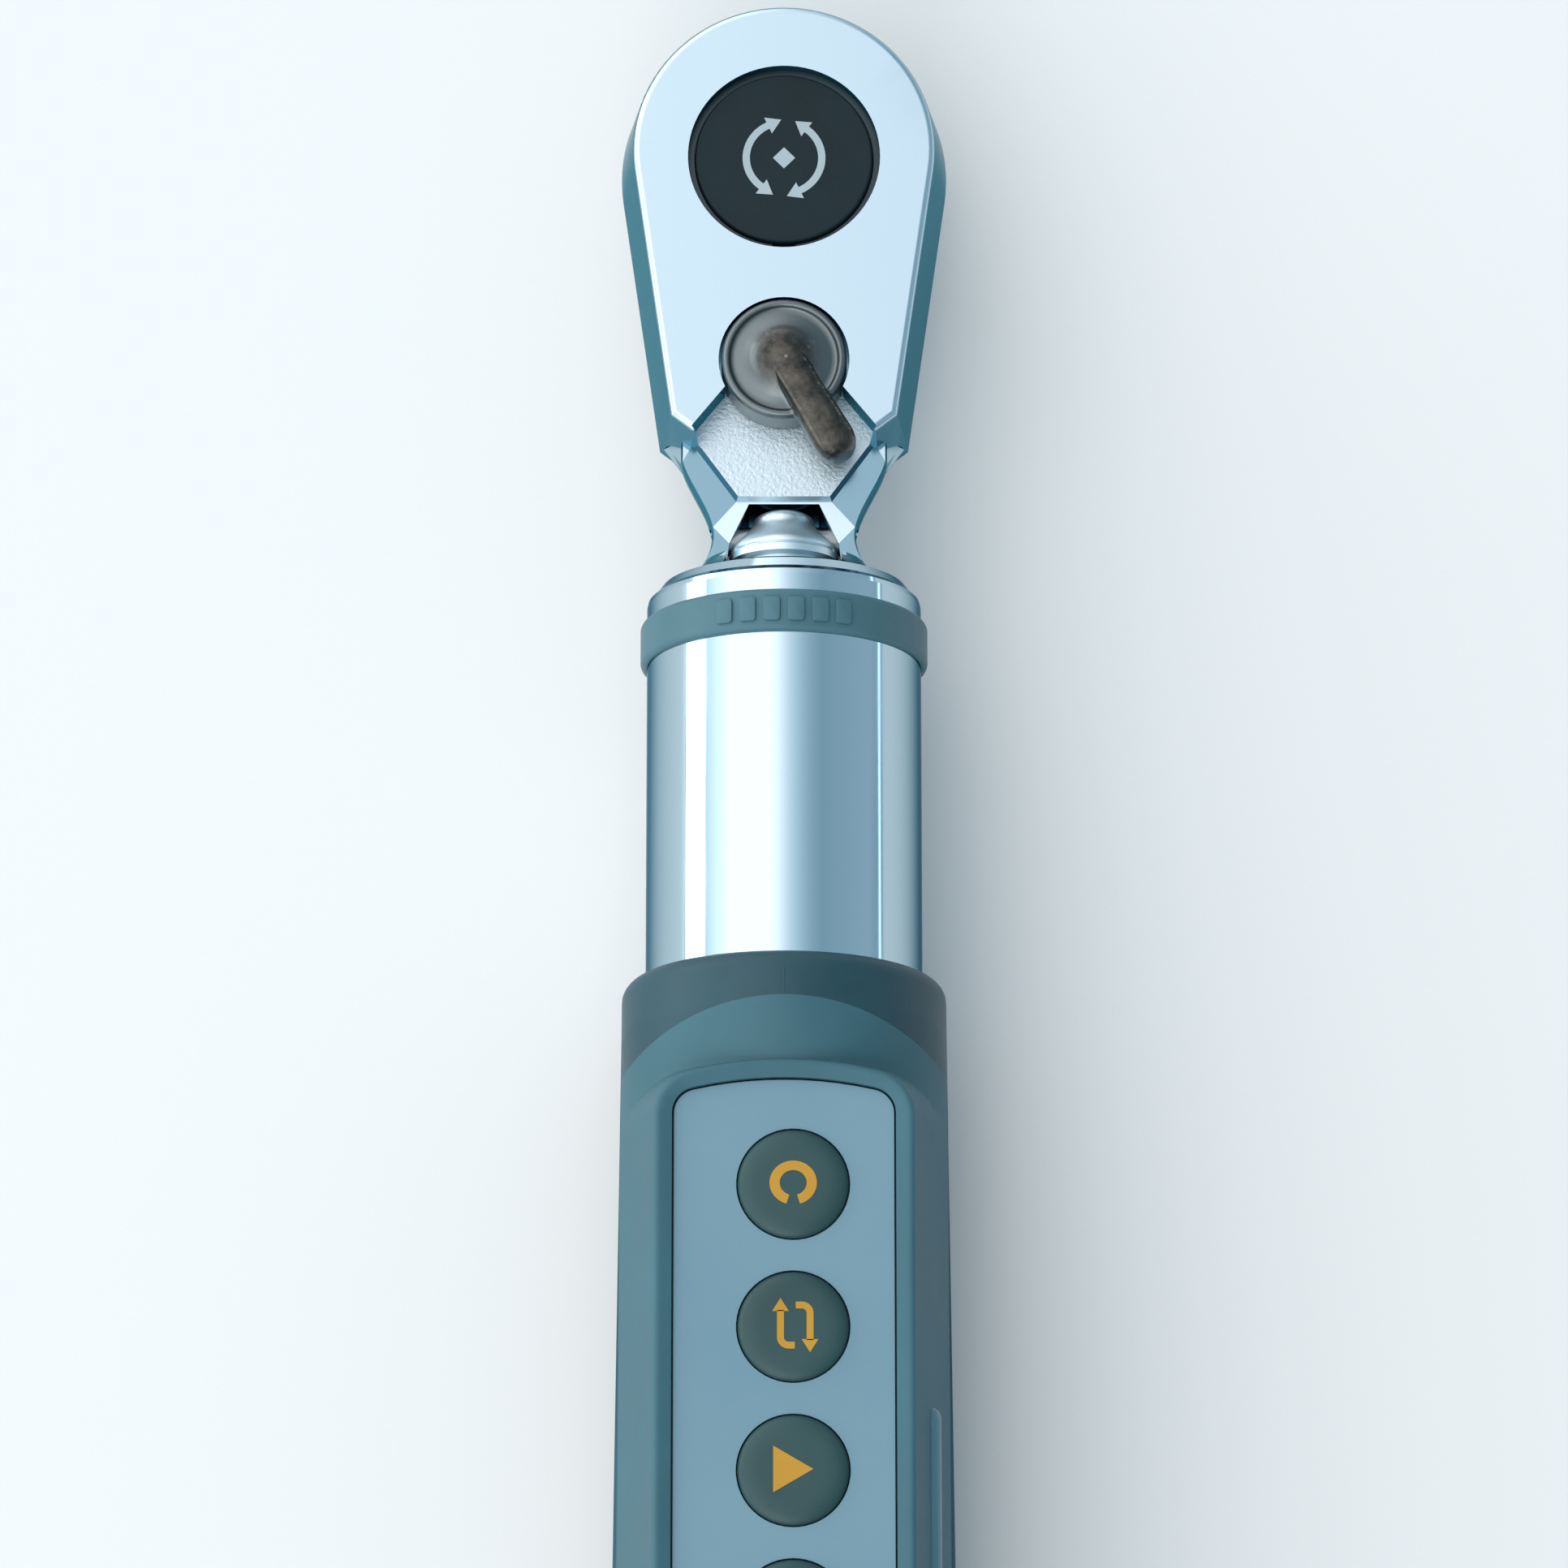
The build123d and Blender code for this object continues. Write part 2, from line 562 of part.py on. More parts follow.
def bezel_dish(window):
    """Slopes the bezel's top inwards, down to the edge of the fascia's window."""
    margin = BEZEL_WIDTH - BEZEL_ROUND - 0.15
    wide = arched_window(BEZEL_HALF_WIDTH - BEZEL_WIDTH + margin, BEZEL_FRONT_Y - BEZEL_WIDTH + margin,
                         BEZEL_BACK_Y + BEZEL_WIDTH - margin, WINDOW_CORNER + margin)
    return loft([Pos(0, 0, BEZEL_TOP_Z - BEZEL_DISH) * window, Pos(0, 0, BEZEL_TOP_Z + 0.01) * wide])


def grip_shell():
    """Both shells in one: hollow body, screw posts, fascia window and the ledge under it."""
    outside = grip_outside()
    window = arched_window(BEZEL_HALF_WIDTH - BEZEL_WIDTH, BEZEL_FRONT_Y - BEZEL_WIDTH,
                           BEZEL_BACK_Y + BEZEL_WIDTH, WINDOW_CORNER)
    ledge = arched_window(LEDGE_HALF_WIDTH, *LEDGE_ENDS, 2.0)
    posts = Compound(screw_posts(-13.0, 13.0, POST_RADIUS))
    solid = (outside - grip_cavity()) + (outside & posts)
    solid -= plate(window, PANEL_TOP_Z - PANEL_THICKNESS, 30)
    solid -= plate(ledge, LEDGE_Z, 30)
    return solid - bezel_dish(window)


def soft_region():
    """Everything above the split line and behind the curved front edge."""
    block_behind = block((-30, 30), (SOFT_EDGE_Y - SOFT_EDGE_ARC, -300), (0, 40))
    front = cylinder_z(SOFT_EDGE_ARC, 0, 40, 0, SOFT_EDGE_Y - SOFT_EDGE_ARC)
    return block_behind + front


def upper_shell(shell):
    solid = shell & soft_region()
    for hole in screw_posts(-1, 8.0, SCREW_RADIUS):
        solid -= hole
    return solid - light_rib()


def lower_shell(shell):
    solid = shell - soft_region()
    holes = screw_posts(-20, 1, SCREW_RADIUS)
    counterbores = screw_posts(-20, SCREW_HEAD_Z[1], SCREW_HEAD_RADIUS + 0.1)
    for hole in holes + counterbores:
        solid -= hole
    return solid


def shell_screws():
    shanks = screw_posts(SCREW_HEAD_Z[1], 7.8, SCREW_RADIUS)
    heads = screw_posts(*SCREW_HEAD_Z, SCREW_HEAD_RADIUS)
    return [shank + head for shank, head in zip(shanks, heads)]


def light_rib():
    """Long clear rib let into the right flank, lit from inside."""
    rod = cylinder_y(RIB_RADIUS, *RIB_Y, x=RIB_X, z=RIB_Z)
    return rod + Pos(RIB_X, RIB_Y[1], RIB_Z) * Sphere(RIB_RADIUS)


def fascia_panel():
    inset = BEZEL_WIDTH + PANEL_GAP
    outline = arched_window(BEZEL_HALF_WIDTH - inset, BEZEL_FRONT_Y - inset, BEZEL_BACK_Y + inset,
                            WINDOW_CORNER - PANEL_GAP)
    solid = plate(outline, PANEL_TOP_Z - PANEL_THICKNESS, PANEL_TOP_Z)
    for index in range(BUTTON_COUNT):
        solid -= cylinder_z(BUTTON_RADIUS + BUTTON_GAP, 0, 30, BUTTON_X, button_y(index))
    opening = Pos(0, LCD_CENTRE_Y) * RectangleRounded(*LCD_SIZE, LCD_CORNER)
    return solid - plate(opening, 0, 30)


def button_y(index):
    return BUTTON_FIRST_Y - index * BUTTON_PITCH


def push_button(index):
    """Domed cap, retaining flange under the fascia and a stem over its dome switch."""
    top = PANEL_TOP_Z + BUTTON_PROUD
    underside = PANEL_TOP_Z - PANEL_THICKNESS
    cap = cylinder_z(BUTTON_RADIUS, underside - 0.1, top)
    cap = fillet(cap.faces().sort_by(Axis.Z)[-1].edges(), BUTTON_EDGE)
    flange_low = underside - 0.1 - BUTTON_FLANGE_THICKNESS
    flange = cylinder_z(BUTTON_RADIUS + BUTTON_FLANGE, flange_low, underside - 0.1)
    stem = cylinder_z(BUTTON_STEM_RADIUS, PCB_TOP_Z + 1.2, underside - 0.5)
    return Pos(BUTTON_X, button_y(index)) * (cap + flange + stem)


def dome_switches():
    top = PCB_TOP_Z + SWITCH_HEIGHT
    return [cylinder_z(SWITCH_RADIUS, PCB_TOP_Z, top, BUTTON_X, button_y(i)) for i in range(BUTTON_COUNT)]


def main_pcb():
    low = PCB_TOP_Z - PCB_THICKNESS
    return plate(arched_window(9.6, -101.5, -203.0, 1.0), low, PCB_TOP_Z)


def pcb_chips():
    top = PCB_TOP_Z - PCB_THICKNESS
    chips = []
    for (x, y), half in CHIPS:
        chips.append(block((x - half, x + half), (y - half, y + half), (top - 1.2, top)))
    return chips


def buzzer():
    top = PCB_TOP_Z - PCB_THICKNESS
    return cylinder_z(5.0, top - 3.0, top, 0, BUZZER_Y) - cylinder_z(0.8, top - 4.0, top - 1.5, 0, BUZZER_Y)


def status_lamps():
    top = PCB_TOP_Z - PCB_THICKNESS
    return [block((8.0, 9.4), (y - 0.8, y + 0.8), (top - 0.8, top)) for y in LAMP_Y]


def lcd_module():
    half_x = LCD_SIZE[0] / 2 + LCD_BORDER
    half_y = LCD_SIZE[1] / 2 + LCD_BORDER
    y_span = (LCD_CENTRE_Y - half_y, LCD_CENTRE_Y + half_y)
    return block((-half_x, half_x), y_span, (PCB_TOP_Z, PANEL_TOP_Z - PANEL_THICKNESS - 0.2))


def lcd_window():
    outline = Pos(0, LCD_CENTRE_Y) * RectangleRounded(*LCD_SIZE, LCD_CORNER)
    return plate(outline, PANEL_TOP_Z - PANEL_THICKNESS, PANEL_TOP_Z - 0.05)


def battery_tray():
    """Cradle with a trough for each cell and a slot for the front contact plate."""
    solid = block((-12.4, 12.4), (-220.8, -173.0), (-12.6, 1.0)) & cylinder_y(14.6, -222, -172)
    for side in (1, -1):
        solid -= cylinder_y(CELL_RADIUS + 0.15, -223, -174.2, side * CELL_X, CELL_Z)
        solid -= block(sorted((side * 2.2, side * 9.0)), (-223, -176.0), (CELL_Z, 3.0))
    return solid - block((-10.1, 10.1), (-174.65, -174.15), (CELL_Z - 3.1, 3.0))


def front_contact():
    plate_part = block((-10.0, 10.0), (-174.6, -174.2), (CELL_Z - 3.0, CELL_Z + 3.0))
    for side in (1, -1):
        plate_part += cylinder_y(1.6, CELL_FRONT_Y, -174.5, side * CELL_X, CELL_Z)
    return plate_part


def battery_cell(side):
    """One AAA cell; the right one has its positive pip forward and the left one has it backward."""
    back = CELL_FRONT_Y - CELL_LENGTH
    if side > 0:
        solid = cylinder_y(CELL_RADIUS, back, CELL_FRONT_Y - 1.0)
        solid += cylinder_y(CELL_PIP_RADIUS, CELL_FRONT_Y - 1.1, CELL_FRONT_Y)
    else:
        solid = cylinder_y(CELL_RADIUS, back + 1.0, CELL_FRONT_Y)
        solid += cylinder_y(CELL_PIP_RADIUS, back, back + 1.1)
    return Pos(side * CELL_X, 0, CELL_Z) * solid


def battery_cap():
    """Screw cap with a finger-grip rim and a hollow plug."""
    end = GRIP_END_Y - CAP_LENGTH
    plug_radius = CAP_BORE - 0.12
    rim_front = GRIP_END_Y - 0.15
    solid = turned_y([(0, CAP_FLOOR_Y), (11.4, CAP_FLOOR_Y), (11.4, CAP_PLUG_FRONT_Y),
                      (plug_radius, CAP_PLUG_FRONT_Y), (plug_radius, rim_front),
                      (GRIP_END_RADIUS - 0.3, rim_front), (GRIP_END_RADIUS - 0.2, end + 3.0),
                      (GRIP_END_RADIUS - 1.4, end + 0.8), (GRIP_END_RADIUS - 3.2, end), (0, end)])
    groove_floor = SEAL_RADIUS - SEAL_WIRE - 0.07
    solid -= turned_y([(groove_floor, SEAL_Y - 0.5), (14.5, SEAL_Y - 0.5), (14.5, SEAL_Y + 0.5),
                       (groove_floor, SEAL_Y + 0.5)])
    for index in range(CAP_FLUTES):
        flute = cylinder_y(1.3, end - 1, GRIP_END_Y - 2.4, x=GRIP_END_RADIUS + 0.55)
        solid -= Rot(0, 360 / CAP_FLUTES * index, 0) * flute
    return solid


def cap_seal():
    return Pos(0, SEAL_Y, 0) * Rot(90, 0, 0) * Torus(SEAL_RADIUS, SEAL_WIRE)


def cap_contact():
    """Floating contact plate with two cell springs, which stays still while the cap turns."""
    solid = cylinder_y(10.6, -222.6, -222.1)
    for side in (1, -1):
        solid += cylinder_y(2.4, -222.2, CELL_FRONT_Y - CELL_LENGTH - 0.1, side * CELL_X, CELL_Z)
    return solid


def gauge_lead():
    """Flat flexible lead from the gauges, through the anchor's slot, up to the board."""
    low = block((-1.5, 1.5), (-104.0, -84.0), (7.0, 7.4))
    riser = block((-1.5, 1.5), (-104.4, -104.0), (7.0, 9.0))
    return low + riser


def build_parts():
    shell = grip_shell()
    parts = {
        "ratchet_head": ratchet_head(),
        "head_cover": head_cover(),
        "cover_ring": cover_ring(),
        "drive_gear": drive_gear(),
        "drive_ball": drive_ball(),
        "ball_spring": ball_spring(),
        "pawl": pawl(),
        "pawl_pin": pawl_pin(),
        "reversing_lever": reversing_lever(),
        "lever_clip": lever_clip(),
        "lever_plunger": lever_plunger(),
        "plunger_spring": plunger_spring(),
        "sensor_beam": sensor_beam(),
        "cross_pin": cross_pin(),
        "spigot_pins": spigot_pins(),
        "anchor_pin": anchor_pin(),
        "strain_gauges": strain_gauges(),
        "gauge_lead": gauge_lead(),
        "front_cap": front_cap(),
        "rubber_ring": rubber_ring(),
        "chrome_tube": chrome_tube(),
        "upper_shell": upper_shell(shell),
        "lower_shell": lower_shell(shell),
        "shell_screws": shell_screws(),
        "light_rib": light_rib(),
        "fascia_panel": fascia_panel(),
        "dome_switches": dome_switches(),
        "main_pcb": main_pcb(),
        "pcb_chips": pcb_chips(),
        "buzzer": buzzer(),
        "status_lamps": status_lamps(),
        "lcd_module": lcd_module(),
        "lcd_window": lcd_window(),
        "battery_tray": battery_tray(),
        "front_contact": front_contact(),
        "battery_cell_right": battery_cell(1),
        "battery_cell_left": battery_cell(-1),
        "battery_cap": battery_cap(),
        "cap_seal": cap_seal(),
        "cap_contact": cap_contact(),
    }
    for index in range(BUTTON_COUNT):
        parts[f"button_{index + 1}"] = push_button(index)
    return parts


def write_parts(parts):
    os.makedirs("parts", exist_ok=True)
    for name, shape in parts.items():
        solids = shape if isinstance(shape, list) else shape.solids()
        lifted = [Pos(0, 0, AXIS_HEIGHT) * solid for solid in solids]
        export_step(lifted[0] if len(lifted) == 1 else Compound(lifted), f"parts/{name}.step")


write_parts(build_parts())
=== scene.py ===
"""Looks of the electronic torque wrench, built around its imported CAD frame.

+Y runs from the grip to the ratchet head, +Z leaves the fascia and +X is to the right. Lengths in
the dataclasses are millimetres, turned to metres by one function as each mesh is made.
"""
import json
import logging
import math
from dataclasses import dataclass, field
from enum import Enum

import bmesh
import bpy
from mathutils import Matrix, Vector


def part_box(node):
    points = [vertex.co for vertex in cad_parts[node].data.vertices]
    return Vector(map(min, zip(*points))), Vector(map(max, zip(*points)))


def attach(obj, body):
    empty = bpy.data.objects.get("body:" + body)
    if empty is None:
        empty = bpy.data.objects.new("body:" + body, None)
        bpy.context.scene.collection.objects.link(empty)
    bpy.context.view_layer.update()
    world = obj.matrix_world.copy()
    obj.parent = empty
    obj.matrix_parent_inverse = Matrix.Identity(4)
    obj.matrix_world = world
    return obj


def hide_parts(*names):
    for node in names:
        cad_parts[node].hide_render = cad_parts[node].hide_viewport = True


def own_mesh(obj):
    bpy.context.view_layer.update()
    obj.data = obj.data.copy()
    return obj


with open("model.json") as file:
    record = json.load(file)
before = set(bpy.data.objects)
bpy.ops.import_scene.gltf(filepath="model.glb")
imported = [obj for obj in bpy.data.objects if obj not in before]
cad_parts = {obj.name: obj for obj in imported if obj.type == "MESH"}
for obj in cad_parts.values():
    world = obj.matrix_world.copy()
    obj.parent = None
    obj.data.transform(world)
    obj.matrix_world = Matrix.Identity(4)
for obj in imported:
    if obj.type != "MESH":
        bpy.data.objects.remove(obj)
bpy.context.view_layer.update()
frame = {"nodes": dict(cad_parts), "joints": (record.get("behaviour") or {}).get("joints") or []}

LOG = logging.getLogger("torque_wrench")
MM = 0.001
FULL_TURN = 2 * math.pi


# --------------------------------------------------------------------------- small tools


def mm(*values: float) -> Vector:
    """A point given in millimetres, as a vector in metres."""
    return Vector(values) * MM


def linear(hex_code: str) -> tuple[float, float, float, float]:
    """Turns an sRGB hex colour into the linear colour that Blender works in.

    Args:
        hex_code: the colour, such as "#4f7585".

    Returns:
        Red, green and blue in linear light, and an alpha of one.
    """
    channels = []
    for start in (1, 3, 5):
        value = int(hex_code[start:start + 2], 16) / 255
        channels.append(value / 12.92 if value <= 0.04045 else ((value + 0.055) / 1.055) ** 2.4)
    return (*channels, 1.0)


def add_node(
    tree: bpy.types.NodeTree,
    kind: str,
    settings: dict[str, object] | None = None,
    links: dict[str | int, bpy.types.NodeSocket] | None = None,
) -> bpy.types.Node:
    """Adds one node, with its properties, socket values and incoming links.

    Args:
        tree: the material's node tree.
        kind: the node's type, such as "ShaderNodeBump".
        settings: property names, or input names after a "=", and their values.
        links: input names or numbers, and the output that feeds each.

    Returns:
        The new node.
    """
    node = tree.nodes.new(kind)
    for name, value in (settings or {}).items():
        if name.startswith("="):
            node.inputs[name[1:]].default_value = value
        else:
            setattr(node, name, value)
    for name, output in (links or {}).items():
        tree.links.new(output, node.inputs[name])
    return node


def cycles_per_metre(size_mm: float) -> float:
    """The texture scale whose features are about size_mm across."""
    return 1.0 / (size_mm * MM)


def soften(bm: bmesh.types.BMesh, limit_deg: float = 32.0) -> None:
    """Smooths the shading of a mesh and keeps its sharp edges sharp.

    Args:
        bm: the mesh.
        limit_deg: an edge that turns by more than this stays sharp.
    """
    limit = math.radians(limit_deg)
    for face in bm.faces:
        face.smooth = True
    for edge in bm.edges:
        edge.smooth = len(edge.link_faces) == 2 and edge.calc_face_angle(0.0) < limit


def sharp_edges(bm: bmesh.types.BMesh, limit_deg: float = 30.0) -> list[bmesh.types.BMEdge]:
    """The edges that turn by more than limit_deg."""
    limit = math.radians(limit_deg)
    return [e for e in bm.edges if len(e.link_faces) == 2 and e.calc_face_angle(0.0) > limit]


def round_over(bm: bmesh.types.BMesh, radius_mm: float, edges: list | None = None, segments: int = 3) -> None:
    """Rounds edges with a real radius.

    Args:
        bm: the mesh.
        radius_mm: the radius.
        edges: the edges to round, or all sharp ones.
        segments: faces across the rounding.
    """
    bmesh.ops.bevel(
        bm,
        geom=sharp_edges(bm) if edges is None else edges,
        offset=radius_mm * MM,
        offset_type="OFFSET",
        segments=segments,
        profile=0.5,
        affect="EDGES",
        clamp_overlap=True,
        material=-1,
    )


def make_piece(
    name: str,
    bm: bmesh.types.BMesh,
    body: str,
    materials: list[bpy.types.Material],
    replaces: tuple[str, ...] = (),
) -> bpy.types.Object:
    """Turns a finished mesh into a piece that rides on a body.

    Args:
        name: the piece's name.
        bm: its mesh, which is freed.
        body: the CAD body that it rides on.
        materials: its materials, in slot order.
        replaces: the CAD nodes that it stands for.

    Returns:
        The new object.
    """
    mesh = bpy.data.meshes.new(name)
    bm.to_mesh(mesh)
    bm.free()
    piece = bpy.data.objects.new(name, mesh)
    bpy.context.scene.collection.objects.link(piece)
    for material in materials:
        mesh.materials.append(material)
    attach(piece, body)
    if replaces:
        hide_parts(*replaces)
    LOG.info("%s: %d faces, on %s", name, len(mesh.polygons), body)
    return piece


def copy_of_node(name: str) -> bmesh.types.BMesh:
    """A merged copy of a CAD node's mesh, ready to be dressed face by face."""
    bm = bmesh.new()
    bm.from_mesh(frame["nodes"][name].data)
    bmesh.ops.remove_doubles(bm, verts=bm.verts, dist=0.002 * MM)
    return bm


class TurnAxis(Enum):
    """The way a turned piece's axis runs."""

    ALONG = (0.0, 1.0, 0.0)
    UPRIGHT = (0.0, 0.0, 1.0)


def turn(
    profile: list[tuple[float, float]],
    axis: TurnAxis,
    centre: Vector,
    steps: int = 128,
) -> bmesh.types.BMesh:
    """Turns a profile about an axis, as on a lathe.

    Args:
        profile: (radius, place along the axis) points in millimetres; it is closed on itself
            unless it both starts and ends on the axis.
        axis: the way that the axis runs.
        centre: a point on the axis, in millimetres; its coordinate along the axis isn't used.
        steps: faces round the turn.

    Returns:
        The turned mesh, with its faces outwards.
    """
    bm = bmesh.new()
    points = []
    for radius, along in profile:
        if axis is TurnAxis.UPRIGHT:
            points.append(bm.verts.new(mm(centre.x + radius, centre.y, along)))
        else:
            points.append(bm.verts.new(mm(centre.x + radius, along, centre.z)))
    pairs = list(zip(points, points[1:]))
    if profile[0][0] > 0 or profile[-1][0] > 0:
        pairs.append((points[-1], points[0]))
    edges = [bm.edges.new(pair) for pair in pairs]
    bmesh.ops.spin(
        bm,
        geom=points + edges,
        cent=centre * MM,
        axis=Vector(axis.value),
        angle=FULL_TURN,
        steps=steps,
        use_merge=True,
        use_duplicate=False,
    )
    bmesh.ops.remove_doubles(bm, verts=bm.verts, dist=0.001 * MM)
    bmesh.ops.recalc_face_normals(bm, faces=bm.faces)
    return bm


def node_box(name: str) -> tuple[Vector, Vector, Vector]:
    """The lowest corner, highest corner and centre of a CAD node, in millimetres."""
    low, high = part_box(name)
    return low / MM, high / MM, (low + high) / (2 * MM)


def joint_place(name: str) -> Vector:
    """The point that a joint turns about, in millimetres."""
    joint = next(j for j in frame["joints"] if j["name"] == name)
    return Vector(joint["pos_m"]) / MM


def settle_normals(piece: bpy.types.Object) -> None:
    """Lets the large flat faces decide the shading at their edges."""
    modifier = piece.modifiers.new("face_weighted_normals", "WEIGHTED_NORMAL")
    modifier.keep_sharp = True
    modifier.weight = 90


def arc_band(centre: tuple[float, float], radius: float, width: float, z: float, start: float, sweep: float,
             thickness: float) -> bmesh.types.BMesh:
    """A flat curved stroke, as printed or inlaid.

    Args:
        centre: x and y of the arc's centre in millimetres.
        radius: the stroke's mean radius.
        width: the stroke's width.
        z: the height of its underside.
        start: the angle that it starts at, in degrees from +X.
        sweep: the angle that it covers, in degrees.
        thickness: its thickness.

    Returns:
        The stroke as a closed mesh.
    """
    bm = bmesh.new()
    first = math.radians(start)
    ends = [
        bm.verts.new(mm(centre[0] + r * math.cos(first), centre[1] + r * math.sin(first), z))
        for r in (radius - width / 2, radius + width / 2)
    ]
    edge = bm.edges.new(ends)
    bmesh.ops.spin(
        bm,
        geom=ends + [edge],
        cent=mm(centre[0], centre[1], z),
        axis=Vector((0, 0, 1)),
        angle=math.radians(sweep),
        steps=max(6, int(abs(sweep) / 6)),
        use_merge=False,
        use_duplicate=False,
    )
    thicken(bm, thickness)
    return bm


def thicken(bm: bmesh.types.BMesh, thickness: float) -> None:
    """Gives a flat mesh a real thickness upwards, in millimetres."""
    made = bmesh.ops.extrude_face_region(bm, geom=list(bm.faces))
    raised = [v for v in made["geom"] if isinstance(v, bmesh.types.BMVert)]
    bmesh.ops.translate(bm, verts=raised, vec=mm(0, 0, thickness))
    bmesh.ops.recalc_face_normals(bm, faces=bm.faces)


def flat_shape(points: list[tuple[float, float]], z: float, thickness: float) -> bmesh.types.BMesh:
    """A flat closed shape from a few corners in millimetres."""
    bm = bmesh.new()
    bm.faces.new([bm.verts.new(mm(x, y, z)) for x, y in points])
    thicken(bm, thickness)
    return bm


def join(target: bmesh.types.BMesh, *others: bmesh.types.BMesh) -> bmesh.types.BMesh:
    """Adds other meshes to the first, and frees them."""
    for other in others:
        mesh = bpy.data.meshes.new("joined")
        other.to_mesh(mesh)
        other.free()
        target.from_mesh(mesh)
        bpy.data.meshes.remove(mesh)
    return target


# --------------------------------------------------------------------------- finishes


@dataclass(frozen=True)
class PlatedChrome:
    """Bright decorative chromium plate over polished steel.

    It mirrors its surroundings nearly unblurred, with the faint waviness of hand-buffed steel and
    patches that are a little duller where it has been handled.
    """

    name: str
    colour: str = "#b4c8d2"
    edge: str = "#6b8b98"
    roughness: float = 0.05
    dulled: float = 0.13
    patch_mm: float = 18.0
    wave_mm: float = 9.0
    wave_height_mm: float = 0.004

    def material(self) -> bpy.types.Material:
        """Builds the material."""
        material = bpy.data.materials.new(self.name)
        material.use_nodes = True
        tree = material.node_tree
        shader = tree.nodes["Principled BSDF"]
        shader.inputs["Base Color"].default_value = linear(self.colour)
        shader.inputs["Specular Tint"].default_value = linear(self.edge)
        shader.inputs["Metallic"].default_value = 1.0
        place = add_node(tree, "ShaderNodeTexCoord")
        patches = add_node(
            tree,
            "ShaderNodeTexNoise",
            {"=Scale": cycles_per_metre(self.patch_mm), "=Detail": 6.0, "=Roughness": 0.6},
            {"Vector": place.outputs["Object"]},
        )
        spread = add_node(
            tree,
            "ShaderNodeMapRange",
            {"=From Min": 0.35, "=From Max": 0.75, "=To Min": self.roughness, "=To Max": self.dulled},
            {"Value": patches.outputs["Fac"]},
        )
        waves = add_node(
            tree,
            "ShaderNodeTexNoise",
            {"=Scale": cycles_per_metre(self.wave_mm), "=Detail": 1.0},
            {"Vector": place.outputs["Object"]},
        )
        bump = add_node(
            tree,
            "ShaderNodeBump",
            {"=Strength": 0.35, "=Distance": self.wave_height_mm * MM},
            {"Height": waves.outputs["Fac"]},
        )
        tree.links.new(spread.outputs["Result"], shader.inputs["Roughness"])
        tree.links.new(bump.outputs["Normal"], shader.inputs["Normal"])
        return material


@dataclass(frozen=True)
class SatinChrome:
    """Chromium plate over steel that was tumbled or blasted first.

    The plate keeps the steel's fine grain, so highlights spread into a soft white sheen, and a
    coarser blast leaves pits that glint one by one.
    """

    name: str
    colour: str = "#e4ecef"
    roughness: float = 0.3
    grain_mm: float = 0.25
    grain_height_mm: float = 0.006
    grain_strength: float = 0.35
    mottle: float = 0.08

    def material(self) -> bpy.types.Material:
        """Builds the material."""
        material = bpy.data.materials.new(self.name)
        material.use_nodes = True
        tree = material.node_tree
        shader = tree.nodes["Principled BSDF"]
        shader.inputs["Base Color"].default_value = linear(self.colour)
        shader.inputs["Metallic"].default_value = 1.0
        place = add_node(tree, "ShaderNodeTexCoord")
        grain = add_node(
            tree,
            "ShaderNodeTexNoise",
            {"=Scale": cycles_per_metre(self.grain_mm), "=Detail": 4.0, "=Roughness": 0.65},
            {"Vector": place.outputs["Object"]},
        )
        cloud = add_node(
            tree,
            "ShaderNodeTexNoise",
            {"=Scale": cycles_per_metre(self.grain_mm * 30), "=Detail": 3.0},
            {"Vector": place.outputs["Object"]},
        )
        spread = add_node(
            tree,
            "ShaderNodeMapRange",
            {"=From Min": 0.3, "=From Max": 0.7, "=To Min": self.roughness - self.mottle,
             "=To Max": self.roughness + self.mottle},
            {"Value": cloud.outputs["Fac"]},
        )
        bump = add_node(
            tree,
            "ShaderNodeBump",
            {"=Strength": self.grain_strength, "=Distance": self.grain_height_mm * MM},
            {"Height": grain.outputs["Fac"]},
        )
        tree.links.new(spread.outputs["Result"], shader.inputs["Roughness"])
        tree.links.new(bump.outputs["Normal"], shader.inputs["Normal"])
        return material


